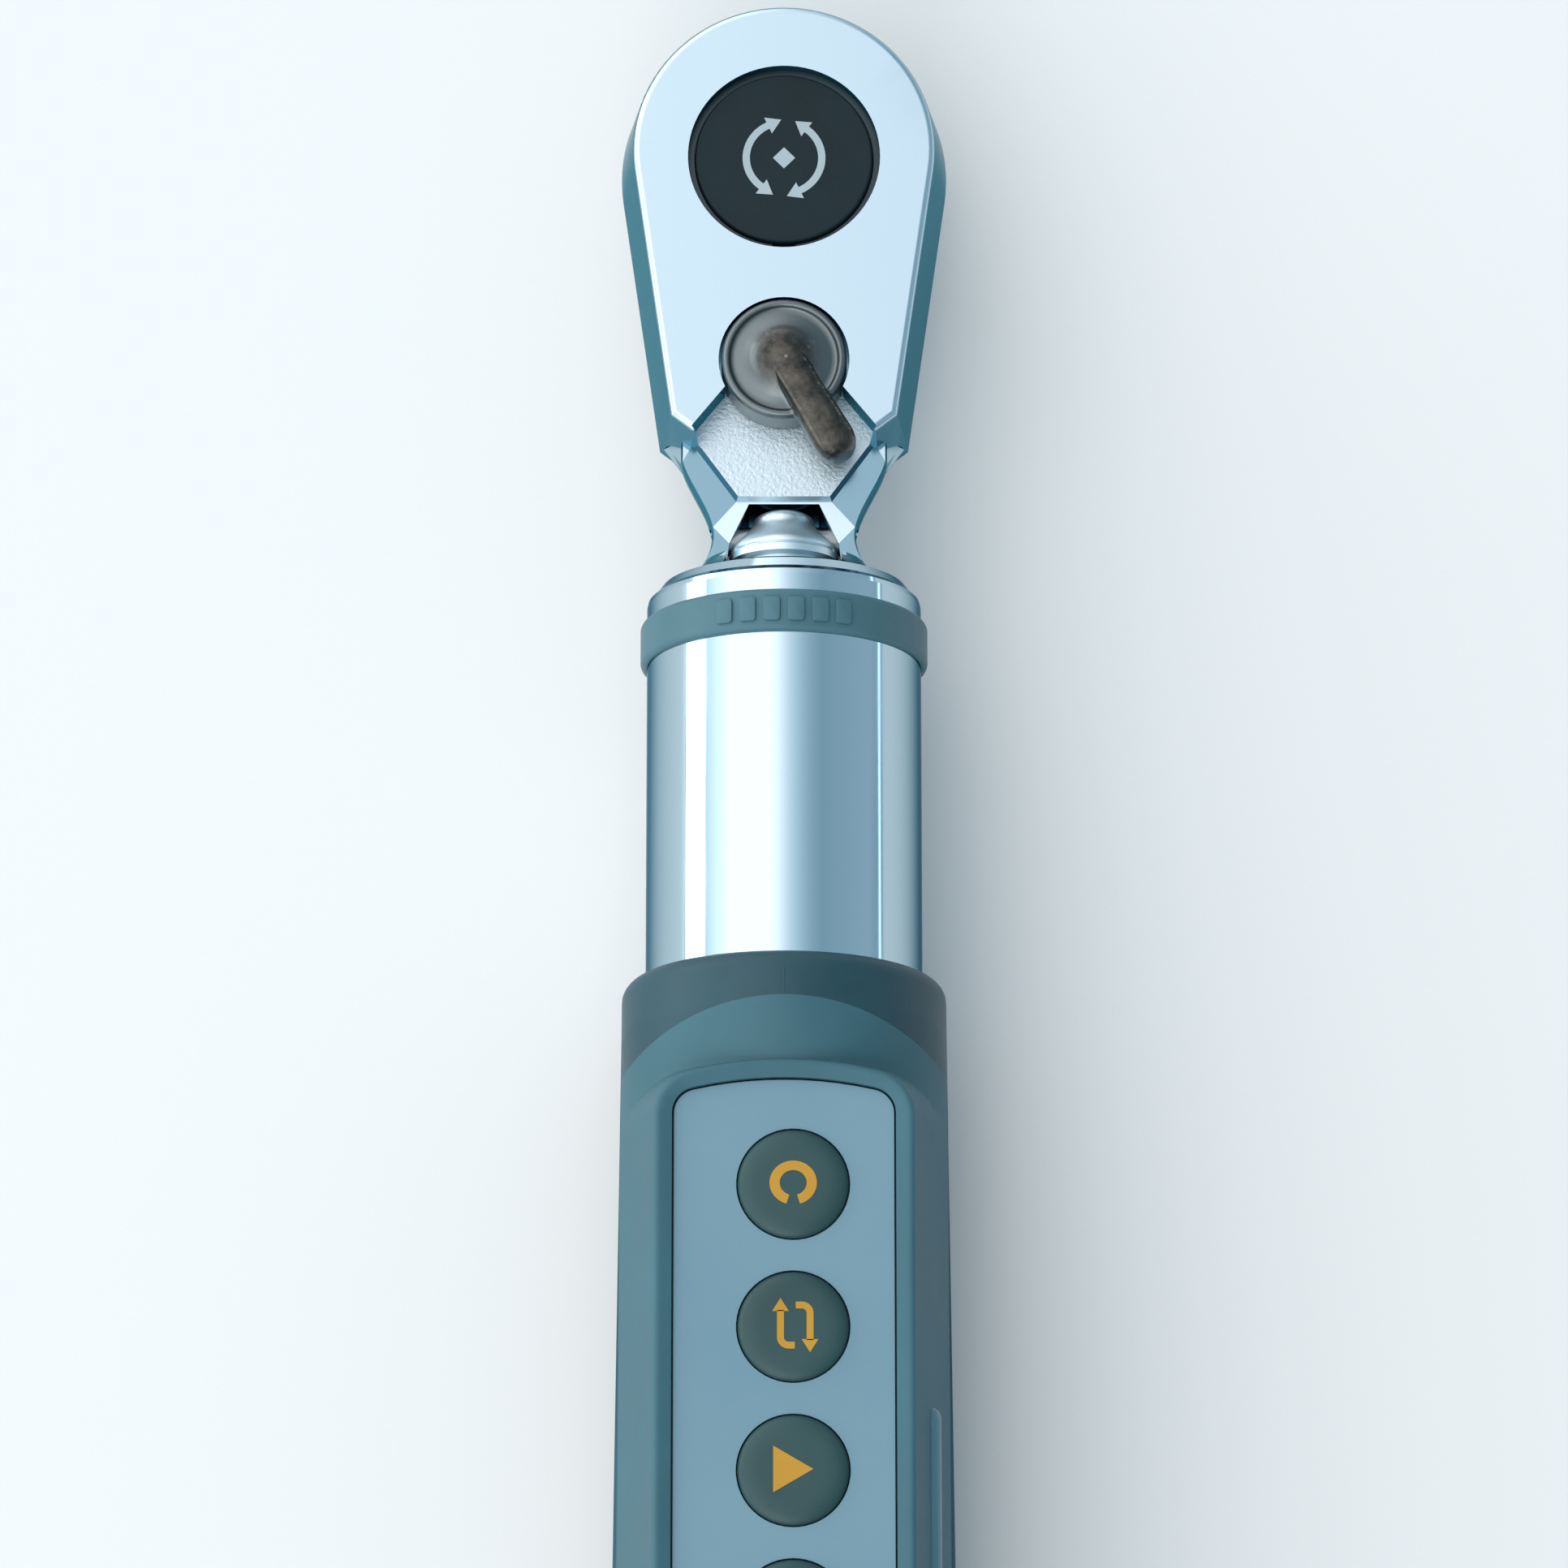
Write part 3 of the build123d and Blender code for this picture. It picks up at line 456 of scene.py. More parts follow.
@dataclass(frozen=True)
class BronzedSteel:
    """Cast steel with a dark brown phosphate finish.

    Its skin is mottled brown and near black, slightly rough from the casting, and rubbed back to
    a warm brown metal along the raised arm where a thumb pushes it. Up to the hub's level it is a
    lighter grey instead, a painted sheen.
    """

    name: str
    dark: str = "#262829"
    brown: str = "#555049"
    rubbed: str = "#9a9186"
    # Painted sheen: the lighter grey given to the hub below its level.
    hub_sheen_grey: str = "#61686a"
    hub_level_mm: float = 0.0
    skin_mm: float = 1.6
    grit_mm: float = 0.22

    def material(self) -> bpy.types.Material:
        """Builds the material, a lighter grey painted sheen up to the hub's level and brown above it."""
        material = bpy.data.materials.new(self.name)
        material.use_nodes = True
        tree = material.node_tree
        shader = tree.nodes["Principled BSDF"]
        shader.inputs["Metallic"].default_value = 0.9
        place = add_node(tree, "ShaderNodeTexCoord")
        mottle = add_node(
            tree,
            "ShaderNodeTexNoise",
            {"=Scale": cycles_per_metre(self.skin_mm), "=Detail": 8.0, "=Roughness": 0.7},
            {"Vector": place.outputs["Object"]},
        )
        tone = add_node(tree, "ShaderNodeValToRGB", {}, {"Fac": mottle.outputs["Fac"]})
        tone.color_ramp.elements[0].position = 0.32
        tone.color_ramp.elements[0].color = linear(self.dark)
        tone.color_ramp.elements[1].position = 0.68
        tone.color_ramp.elements[1].color = linear(self.brown)
        shape = add_node(tree, "ShaderNodeNewGeometry")
        edges = add_node(
            tree,
            "ShaderNodeMapRange",
            {"=From Min": 0.515, "=From Max": 0.60, "=To Min": 0.0, "=To Max": 0.8},
            {"Value": shape.outputs["Pointiness"]},
        )
        broken = add_node(
            tree,
            "ShaderNodeMath",
            {"operation": "MULTIPLY", "use_clamp": True},
            {0: edges.outputs["Result"], 1: mottle.outputs["Fac"]},
        )
        worn = add_node(
            tree,
            "ShaderNodeMix",
            {"data_type": "RGBA"},
            {"Factor": broken.outputs["Value"], "A": tone.outputs["Color"]},
        )
        worn.inputs["B"].default_value = linear(self.rubbed)
        # Below the hub's level the colour turns to the lighter grey: a painted sheen, not a finish of the steel.
        height = add_node(tree, "ShaderNodeSeparateXYZ", {}, {0: place.outputs["Object"]})
        raised = add_node(
            tree,
            "ShaderNodeMapRange",
            {"=From Min": (self.hub_level_mm - 0.1) * MM, "=From Max": (self.hub_level_mm + 1.1) * MM},
            {"Value": height.outputs["Z"]},
        )
        skin = add_node(
            tree,
            "ShaderNodeMix",
            {"data_type": "RGBA"},
            {"Factor": raised.outputs["Result"], "B": worn.outputs["Result"]},
        )
        skin.inputs["A"].default_value = linear(self.hub_sheen_grey)
        grit = add_node(
            tree,
            "ShaderNodeTexNoise",
            {"=Scale": cycles_per_metre(self.grit_mm), "=Detail": 5.0},
            {"Vector": place.outputs["Object"]},
        )
        bump = add_node(
            tree,
            "ShaderNodeBump",
            {"=Strength": 0.4, "=Distance": 0.02 * MM},
            {"Height": grit.outputs["Fac"]},
        )
        spread = add_node(
            tree,
            "ShaderNodeMapRange",
            {"=To Min": 0.36, "=To Max": 0.24},
            {"Value": mottle.outputs["Fac"]},
        )
        tree.links.new(skin.outputs["Result"], shader.inputs["Base Color"])
        tree.links.new(spread.outputs["Result"], shader.inputs["Roughness"])
        tree.links.new(bump.outputs["Normal"], shader.inputs["Normal"])
        return material


@dataclass(frozen=True)
class MouldedPolymer:
    """Injection-moulded plastic or rubber with a spark-eroded skin.

    The mould's fine pits break up the highlight, and large soft patches differ a little in tone.
    """

    name: str
    colour: str
    variation: str
    roughness: float = 0.5
    grain_mm: float = 0.12
    grain_height_mm: float = 0.012
    grain_strength: float = 0.5
    patch_mm: float = 14.0
    coat: float = 0.0
    specular: float = 0.3

    def material(self) -> bpy.types.Material:
        """Builds the material."""
        material = bpy.data.materials.new(self.name)
        material.use_nodes = True
        tree = material.node_tree
        shader = tree.nodes["Principled BSDF"]
        shader.inputs["Coat Weight"].default_value = self.coat
        shader.inputs["Specular IOR Level"].default_value = self.specular
        place = add_node(tree, "ShaderNodeTexCoord")
        patches = add_node(
            tree,
            "ShaderNodeTexNoise",
            {"=Scale": cycles_per_metre(self.patch_mm), "=Detail": 7.0, "=Roughness": 0.62},
            {"Vector": place.outputs["Object"]},
        )
        tone = add_node(tree, "ShaderNodeValToRGB", {}, {"Fac": patches.outputs["Fac"]})
        tone.color_ramp.elements[0].position = 0.3
        tone.color_ramp.elements[0].color = linear(self.colour)
        tone.color_ramp.elements[1].position = 0.72
        tone.color_ramp.elements[1].color = linear(self.variation)
        pits = add_node(
            tree,
            "ShaderNodeTexNoise",
            {"=Scale": cycles_per_metre(self.grain_mm), "=Detail": 3.0, "=Roughness": 0.6},
            {"Vector": place.outputs["Object"]},
        )
        bump = add_node(
            tree,
            "ShaderNodeBump",
            {"=Strength": self.grain_strength, "=Distance": self.grain_height_mm * MM},
            {"Height": pits.outputs["Fac"]},
        )
        spread = add_node(
            tree,
            "ShaderNodeMapRange",
            {"=From Min": 0.3, "=From Max": 0.7, "=To Min": self.roughness - 0.05,
             "=To Max": self.roughness + 0.07},
            {"Value": patches.outputs["Fac"]},
        )
        tree.links.new(tone.outputs["Color"], shader.inputs["Base Color"])
        tree.links.new(spread.outputs["Result"], shader.inputs["Roughness"])
        tree.links.new(bump.outputs["Normal"], shader.inputs["Normal"])
        return material


@dataclass(frozen=True)
class MachinedSteel:
    """Ground or turned tool steel with fine parallel tool marks.

    The marks run round the part and stretch the highlight across them.
    """

    name: str
    colour: str
    roughness: float = 0.28
    mark_mm: float = 0.35
    mark_strength: float = 0.25

    def material(self) -> bpy.types.Material:
        """Builds the material."""
        material = bpy.data.materials.new(self.name)
        material.use_nodes = True
        tree = material.node_tree
        shader = tree.nodes["Principled BSDF"]
        shader.inputs["Base Color"].default_value = linear(self.colour)
        shader.inputs["Metallic"].default_value = 1.0
        place = add_node(tree, "ShaderNodeTexCoord")
        stretched = add_node(
            tree,
            "ShaderNodeMapping",
            {"=Scale": (0.05, 0.05, 1.0)},
            {"Vector": place.outputs["Object"]},
        )
        marks = add_node(
            tree,
            "ShaderNodeTexNoise",
            {"=Scale": cycles_per_metre(self.mark_mm), "=Detail": 4.0},
            {"Vector": stretched.outputs["Vector"]},
        )
        bump = add_node(
            tree,
            "ShaderNodeBump",
            {"=Strength": self.mark_strength, "=Distance": 0.01 * MM},
            {"Height": marks.outputs["Fac"]},
        )
        spread = add_node(
            tree,
            "ShaderNodeMapRange",
            {"=To Min": self.roughness - 0.08, "=To Max": self.roughness + 0.1},
            {"Value": marks.outputs["Fac"]},
        )
        tree.links.new(spread.outputs["Result"], shader.inputs["Roughness"])
        tree.links.new(bump.outputs["Normal"], shader.inputs["Normal"])
        return material


@dataclass(frozen=True)
class ClearPolycarbonate:
    """Clear moulded polycarbonate, polished on both faces, with a hard scratch-resistant coat."""

    name: str
    tint: str = "#cfdcd6"
    roughness: float = 0.04

    def material(self) -> bpy.types.Material:
        """Builds the material."""
        material = bpy.data.materials.new(self.name)
        material.use_nodes = True
        tree = material.node_tree
        shader = tree.nodes["Principled BSDF"]
        shader.inputs["Base Color"].default_value = linear(self.tint)
        shader.inputs["Transmission Weight"].default_value = 1.0
        shader.inputs["IOR"].default_value = 1.58
        place = add_node(tree, "ShaderNodeTexCoord")
        smears = add_node(
            tree,
            "ShaderNodeTexNoise",
            {"=Scale": cycles_per_metre(11.0), "=Detail": 5.0},
            {"Vector": place.outputs["Object"]},
        )
        spread = add_node(
            tree,
            "ShaderNodeMapRange",
            {"=To Min": self.roughness, "=To Max": self.roughness + 0.08},
            {"Value": smears.outputs["Fac"]},
        )
        tree.links.new(spread.outputs["Result"], shader.inputs["Roughness"])
        return material


class Palette:
    """Every finish on the wrench, each made once."""

    def __init__(self) -> None:
        """Makes all the materials."""
        self.bright_chrome = PlatedChrome("bright_chrome_plate").material()
        self.head_chrome = SatinChrome("satin_chrome_plate", colour="#bdcbd2", roughness=0.24,
                                       mottle=0.05).material()
        self.nose_chrome = SatinChrome("fine_turned_chrome", colour="#ccdae0", roughness=0.4, grain_mm=0.4,
                                       grain_strength=0.08, mottle=0.03).material()
        # A darker copy of the plate for the walls, neck flanks and hub bore floor: painted shade. Its rougher, wavier
        # finish is its own.
        self.wall_chrome_with_painted_shade = PlatedChrome("painted_shade_wall_chrome", colour="#7d9ba8", edge="#7fb0bc",
                                        roughness=0.14, dulled=0.24, wave_mm=5.0,
                                        wave_height_mm=0.012).material()
        self.blasted_chrome = SatinChrome("grit_blasted_chrome", colour="#c0ccd2", roughness=0.42,
                                          grain_mm=0.42, grain_height_mm=0.09, grain_strength=0.9,
                                          mottle=0.06).material()
        # The level below which the lever is painted its lighter grey sheen.
        hub_level = node_box("reversing_lever")[1].z - 1.95
        self.lever_bronze = BronzedSteel("phosphated_cast_steel", hub_level_mm=hub_level).material()
        self.cover_black = MouldedPolymer("black_acetal_cover", "#08171c", "#0f2229", roughness=0.58,
                                          grain_mm=0.28, grain_strength=0.6, grain_height_mm=0.03,
                                          specular=0.2).material()
        self.cover_mark = MouldedPolymer("pad_printed_pale_ink", "#8d9a9f", "#99a6ab",
                                         roughness=0.55).material()
        self.collar_black = MouldedPolymer("glass_filled_nylon_collar", "#1a3a43", "#21434c",
                                           roughness=0.46, grain_mm=0.25, grain_strength=0.6,
                                           grain_height_mm=0.02).material()
        self.soft_grip = MouldedPolymer("soft_touch_elastomer", "#2f545e", "#355c67",
                                        roughness=0.55, grain_mm=0.14, grain_strength=0.5).material()
        self.ring_rubber = MouldedPolymer("moulded_nitrile_rubber", "#395b64", "#416570",
                                          roughness=0.5, grain_mm=0.18, grain_strength=0.45).material()
        self.panel_film = MouldedPolymer("matt_polyester_overlay", "#5e7d8b", "#64838f",
                                         roughness=0.42, grain_mm=0.09, grain_strength=0.25,
                                         patch_mm=30.0).material()
        self.button_rubber = MouldedPolymer("silicone_button_rubber", "#1f3a3b", "#274445",
                                            roughness=0.4, grain_mm=0.16, grain_strength=0.5).material()
        self.amber_ink = MouldedPolymer("screen_printed_amber_ink", "#a2761a", "#ad8026",
                                        roughness=0.5, grain_mm=0.3, grain_strength=0.2).material()
        self.tool_steel = MachinedSteel("oiled_tool_steel", "#8b8f92").material()
        self.satin_steel = MachinedSteel("satin_plated_drive_steel", "#c3ccd0", roughness=0.3).material()
        self.rib_rubber = MouldedPolymer("glossy_translucent_rib", "#41656f", "#486e79", roughness=0.22, specular=0.5,
                                         grain_strength=0.1).material()
        self.spring_steel = MachinedSteel("bright_spring_steel", "#b9bdc0", roughness=0.2).material()
        self.dark_steel = MachinedSteel("blackened_spring_steel", "#3a4246", roughness=0.35).material()
        self.clear_window = ClearPolycarbonate("clear_polycarbonate").material()
        self.display_glass = MouldedPolymer("reflective_display_glass", "#7f8f82", "#88978a",
                                            roughness=0.25, grain_strength=0.05).material()
        self.display_ink = MouldedPolymer("display_segment", "#0c1112", "#111718",
                                          roughness=0.35, grain_strength=0.05).material()
        self.plain_dark = MouldedPolymer("internal_black_plastic", "#15181a", "#1d2022").material()
        self.circuit_green = MouldedPolymer("solder_mask", "#12402a", "#1a4d33", roughness=0.3).material()
        self.cell_wrap = MouldedPolymer("cell_jacket_film", "#4a4f53", "#565b5f", roughness=0.3).material()
        self.polyimide = MouldedPolymer("polyimide_film", "#8a4a14", "#97551b", roughness=0.3).material()


# --------------------------------------------------------------------------- studio


@dataclass
class Studio:
    """Camera, soft lights and the pale floor."""

    aim_y: float = -65.29
    aim_z: float = 18.5
    distance: float = 825.0
    tilt_deg: float = 15.3
    focal_length: float = 186.3
    sensor: float = 36.0
    room_strength: float = 2.2

    def build(self) -> None:
        """Makes the camera, lights, room and floor."""
        self.set_camera()
        self.set_room()
        middle = mm(0, self.aim_y, self.aim_z)
        self.add_softbox("left_box", middle + Vector((-1.0, 0.12, 0.19)), middle, (0.36, 1.5), 5.2, "#f8fdff")
        self.add_softbox("right_strip", middle + Vector((1.0, 0.2, 0.06)), middle, (0.04, 1.2), 0.3, "#d8ecf6")
        self.add_softbox("front_box", middle + Vector((-0.25, -1.1, 0.95)), middle, (1.1, 0.8), 4.0, "#fbfeff")
        self.set_floor()
        bpy.context.scene.view_settings.view_transform = "Standard"

    def set_camera(self) -> None:
        """Places the camera above the fascia, leaning towards the grip."""
        tilt = math.radians(self.tilt_deg)
        data = bpy.data.cameras.new("camera")
        data.lens = self.focal_length
        data.sensor_width = self.sensor
        data.clip_start = 0.01
        camera = bpy.data.objects.new("camera", data)
        bpy.context.scene.collection.objects.link(camera)
        camera.location = mm(
            0,
            self.aim_y - self.distance * math.sin(tilt),
            self.aim_z + self.distance * math.cos(tilt),
        )
        camera.rotation_euler = (tilt, 0, 0)
        bpy.context.scene.camera = camera

    def add_softbox(
        self,
        name: str,
        place: Vector,
        aim: Vector,
        size: tuple[float, float],
        watts: float,
        colour: str,
    ) -> None:
        """Adds one rectangular light.

        Args:
            name: the light's name.
            place: where it hangs, in metres.
            aim: the point it faces.
            size: its height and width in metres.
            watts: its power.
            colour: its colour.
        """
        data = bpy.data.lights.new(name, "AREA")
        data.shape = "RECTANGLE"
        data.size_y, data.size = size
        data.energy = watts
        data.color = linear(colour)[:3]
        light = bpy.data.objects.new(name, data)
        bpy.context.scene.collection.objects.link(light)
        light.location = place
        light.rotation_euler = (aim - place).to_track_quat("-Z", "Y").to_euler()

    def set_room(self) -> None:
        """A pale ceiling that falls off to blue-grey walls on the left and right."""
        world = bpy.data.worlds.new("studio_room")
        bpy.context.scene.world = world
        world.use_nodes = True
        tree = world.node_tree
        background = tree.nodes["Background"]
        background.inputs["Strength"].default_value = self.room_strength
        direction = add_node(tree, "ShaderNodeTexCoord")
        across = add_node(tree, "ShaderNodeSeparateXYZ", {}, {0: direction.outputs["Generated"]})
        place = add_node(
            tree,
            "ShaderNodeMapRange",
            {"=From Min": -1.0, "=From Max": 1.0},
            {"Value": across.outputs["X"]},
        )
        ramp = add_node(tree, "ShaderNodeValToRGB", {}, {"Fac": place.outputs["Result"]})
        stops = (
            (0.0, "#8fa3ab"),
            (0.035, "#9db1b9"),
            (0.065, "#ccd8dd"),
            (0.15, "#fafdff"),
            (0.40, "#fafdff"),
            (0.487, "#d6d7da"),
            (0.535, "#bdc1c9"),
            (0.582, "#a4b3b8"),
            (0.623, "#94a4ae"),
            (0.67, "#84969f"),
            (0.752, "#708590"),
            (0.97, "#7e909a"),
            (1.0, "#5c7480"),
        )
        while len(ramp.color_ramp.elements) < len(stops):
            ramp.color_ramp.elements.new(0.5)
        for element, (position, colour) in zip(ramp.color_ramp.elements, stops):
            element.position = position
            element.color = linear(colour)
        tree.links.new(ramp.outputs["Color"], background.inputs["Color"])

    def set_floor(self) -> None:
        """Lays a plain pale floor under the wrench."""
        bm = bmesh.new()
        bmesh.ops.create_grid(bm, x_segments=1, y_segments=1, size=3.0)
        mesh = bpy.data.meshes.new("floor")
        bm.to_mesh(mesh)
        bm.free()
        floor = bpy.data.objects.new("floor", mesh)
        bpy.context.scene.collection.objects.link(floor)
        material = bpy.data.materials.new("painted_floor")
        material.use_nodes = True
        shader = material.node_tree.nodes["Principled BSDF"]
        shader.inputs["Base Color"].default_value = linear("#cfcfce")
        shader.inputs["Roughness"].default_value = 0.9
        shader.inputs["Specular IOR Level"].default_value = 0.1
        mesh.materials.append(material)


# --------------------------------------------------------------------------- sub-assemblies


def dress(material: bpy.types.Material, *nodes: str) -> None:
    """Gives CAD nodes one material.

    Args:
        material: the material.
        nodes: the names of the nodes.
    """
    for name in nodes:
        data = frame["nodes"][name].data
        data.materials.clear()
        data.materials.append(material)
        LOG.info("%s: dressed in %s", name, material.name)


def build_spring(palette: Palette, node: str, body: str) -> None:
    """Copies a small coil spring in spring steel onto the body that its fixed end rides on.

    Args:
        palette: the finishes.
        node: the CAD node.
        body: the body that its fixed end rides on.
    """
    bm = copy_of_node(node)
    soften(bm, 40.0)
    piece = make_piece(f"{node}_coil", bm, body, [palette.spring_steel], (node,))
    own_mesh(piece)


@dataclass
class DriveHead:
    """The chromed forging with its cover, snap ring, gear, square and ball."""

    face_depth: float = 0.1
    recess_level: float = 21.5
    hub_bore: float = 6.85
    neck_end: float = 21.0
    pocket_half_width: float = 6.2
    pocket_depth: float = 12.0
    cover_radius: float = 9.15
    cover_flange: float = 9.8
    cover_edge: float = 0.4
    mark_radius: float = 3.9
    mark_stroke: float = 0.75
    mark_thickness: float = 0.02

    def build(self, palette: Palette) -> None:
        """Makes the forging, the cover and its mark, and dresses the works inside."""
        self.build_forging(palette)
        self.build_cover(palette)
        dress(palette.dark_steel, "cover_ring", "lever_clip")
        dress(palette.satin_steel, "drive_gear")
        dress(palette.tool_steel, "pawl", "pawl_pin")
        dress(palette.spring_steel, "drive_ball")
        build_spring(palette, "ball_spring", "drive")

    def zone(self, face: bmesh.types.BMFace, top: float) -> int:
        """The finish that a face of the forging has.

        Args:
            face: the face.
            top: the level of the forging's front face.

        Returns:
            The index of the finish: satin face, bright plate, darker wall chrome that is painted shade
            on the walls, neck flanks and hub bore floor, blasted floor or the pocket round the beam's nose.
        """
        pivot = joint_place("lever_swing")
        centre, normal = face.calc_center_median() / MM, face.normal
        if normal.z > 0.98 and centre.z > top - self.face_depth:
            return 0
        if normal.z > 0.98 and abs(centre.z - self.recess_level) < self.face_depth:
            reach = max((corner.co.xy / MM - pivot.xy).length for corner in face.verts)
            # Inside the hub bore the floor takes the darker wall chrome: painted shade.
            return 2 if reach < self.hub_bore else 3
        if normal.z < -0.98 and centre.y > pivot.y - 7:
            return 0
        # Walls round the head take the darker wall chrome: painted shade.
        if abs(normal.z) < 0.35 and centre.y > pivot.y - 8.5:
            return 2
        if pivot.y - self.neck_end < centre.y < pivot.y - 8.5:
            if abs(centre.x) < self.pocket_half_width and centre.z > top - self.pocket_depth:
                return 4
            # On the neck the flanks and flat tops take the darker wall chrome as painted shade; the rest is bright
            # plate.
            return 2 if abs(normal.x) > 0.35 or normal.z > 0.98 else 1
        return 1

    def build_forging(self, palette: Palette) -> None:
        """Copies the forging and gives each of its surfaces its own finish; the walls, neck flanks and hub bore floor
        take a darker chrome that paints their shade.
        """
        bm = copy_of_node("ratchet_head")
        top = node_box("ratchet_head")[1].z
        bm.normal_update()
        for face in bm.faces:
            face.material_index = self.zone(face, top)
        soften(bm, 24.0)
        finishes = [palette.head_chrome, palette.bright_chrome, palette.wall_chrome_with_painted_shade, palette.blasted_chrome,
                    palette.nose_chrome]
        piece = make_piece("head_forging", bm, "wrench", finishes, ("ratchet_head",))
        settle_normals(piece)

    def build_cover(self, palette: Palette) -> None:
        """Turns the cover with a broken edge, and prints a two-way arrow on it."""
        low, high, centre = node_box("head_cover")
        bm = turn(
            [
                (0, low.z),
                (self.cover_flange, low.z),
                (self.cover_flange, low.z + 1.0),
                (self.cover_radius, low.z + 1.0),
                (self.cover_radius, high.z - 0.05),
                (0, high.z),
            ],
            TurnAxis.UPRIGHT,
            centre,
        )
        round_over(bm, self.cover_edge, sharp_edges(bm, 40))
        soften(bm)
        piece = make_piece("cover_disc", bm, "wrench", [palette.cover_black], ("head_cover",))
        settle_normals(piece)
        self.build_mark(palette, centre, high.z - 0.004)

    def build_mark(self, palette: Palette, centre: Vector, level: float) -> None:
        """A plain two-way turn arrow round a small square, for a reversible drive."""
        mark = bmesh.new()
        for start in (115.0, 295.0):
            join(mark, arc_band(centre, self.mark_radius, self.mark_stroke, level, start, 118, self.mark_thickness))
            for end, way in ((start, -1), (start + 118, 1)):
                join(mark, self.arrow_head(centre, math.radians(end), way, level))
        half = 1.15
        outer = flat_shape(
            [(centre.x + x * half, centre.y + y * half) for x, y in ((1, 0), (0, 1), (-1, 0), (0, -1))],
            level,
            self.mark_thickness,
        )
        join(mark, outer)
        make_piece("turn_mark", mark, "wrench", [palette.cover_mark])

    def arrow_head(self, centre: Vector, angle: float, way: int, level: float) -> bmesh.types.BMesh:
        """One arrow head on the mark's circle.

        Args:
            centre: the mark's centre in millimetres.
            angle: where it sits, in radians from +X.
            way: 1 to point anticlockwise, -1 to point clockwise.
            level: the height of its underside.

        Returns:
            The arrow head as a closed mesh.
        """
        outwards = Vector((math.cos(angle), math.sin(angle)))
        along = Vector((-outwards.y, outwards.x)) * way
        middle = centre.xy + outwards * self.mark_radius
        corners = [middle + outwards * 0.95, middle + along * 1.5, middle - outwards * 0.95]
        return flat_shape([tuple(corner) for corner in corners], level, self.mark_thickness)


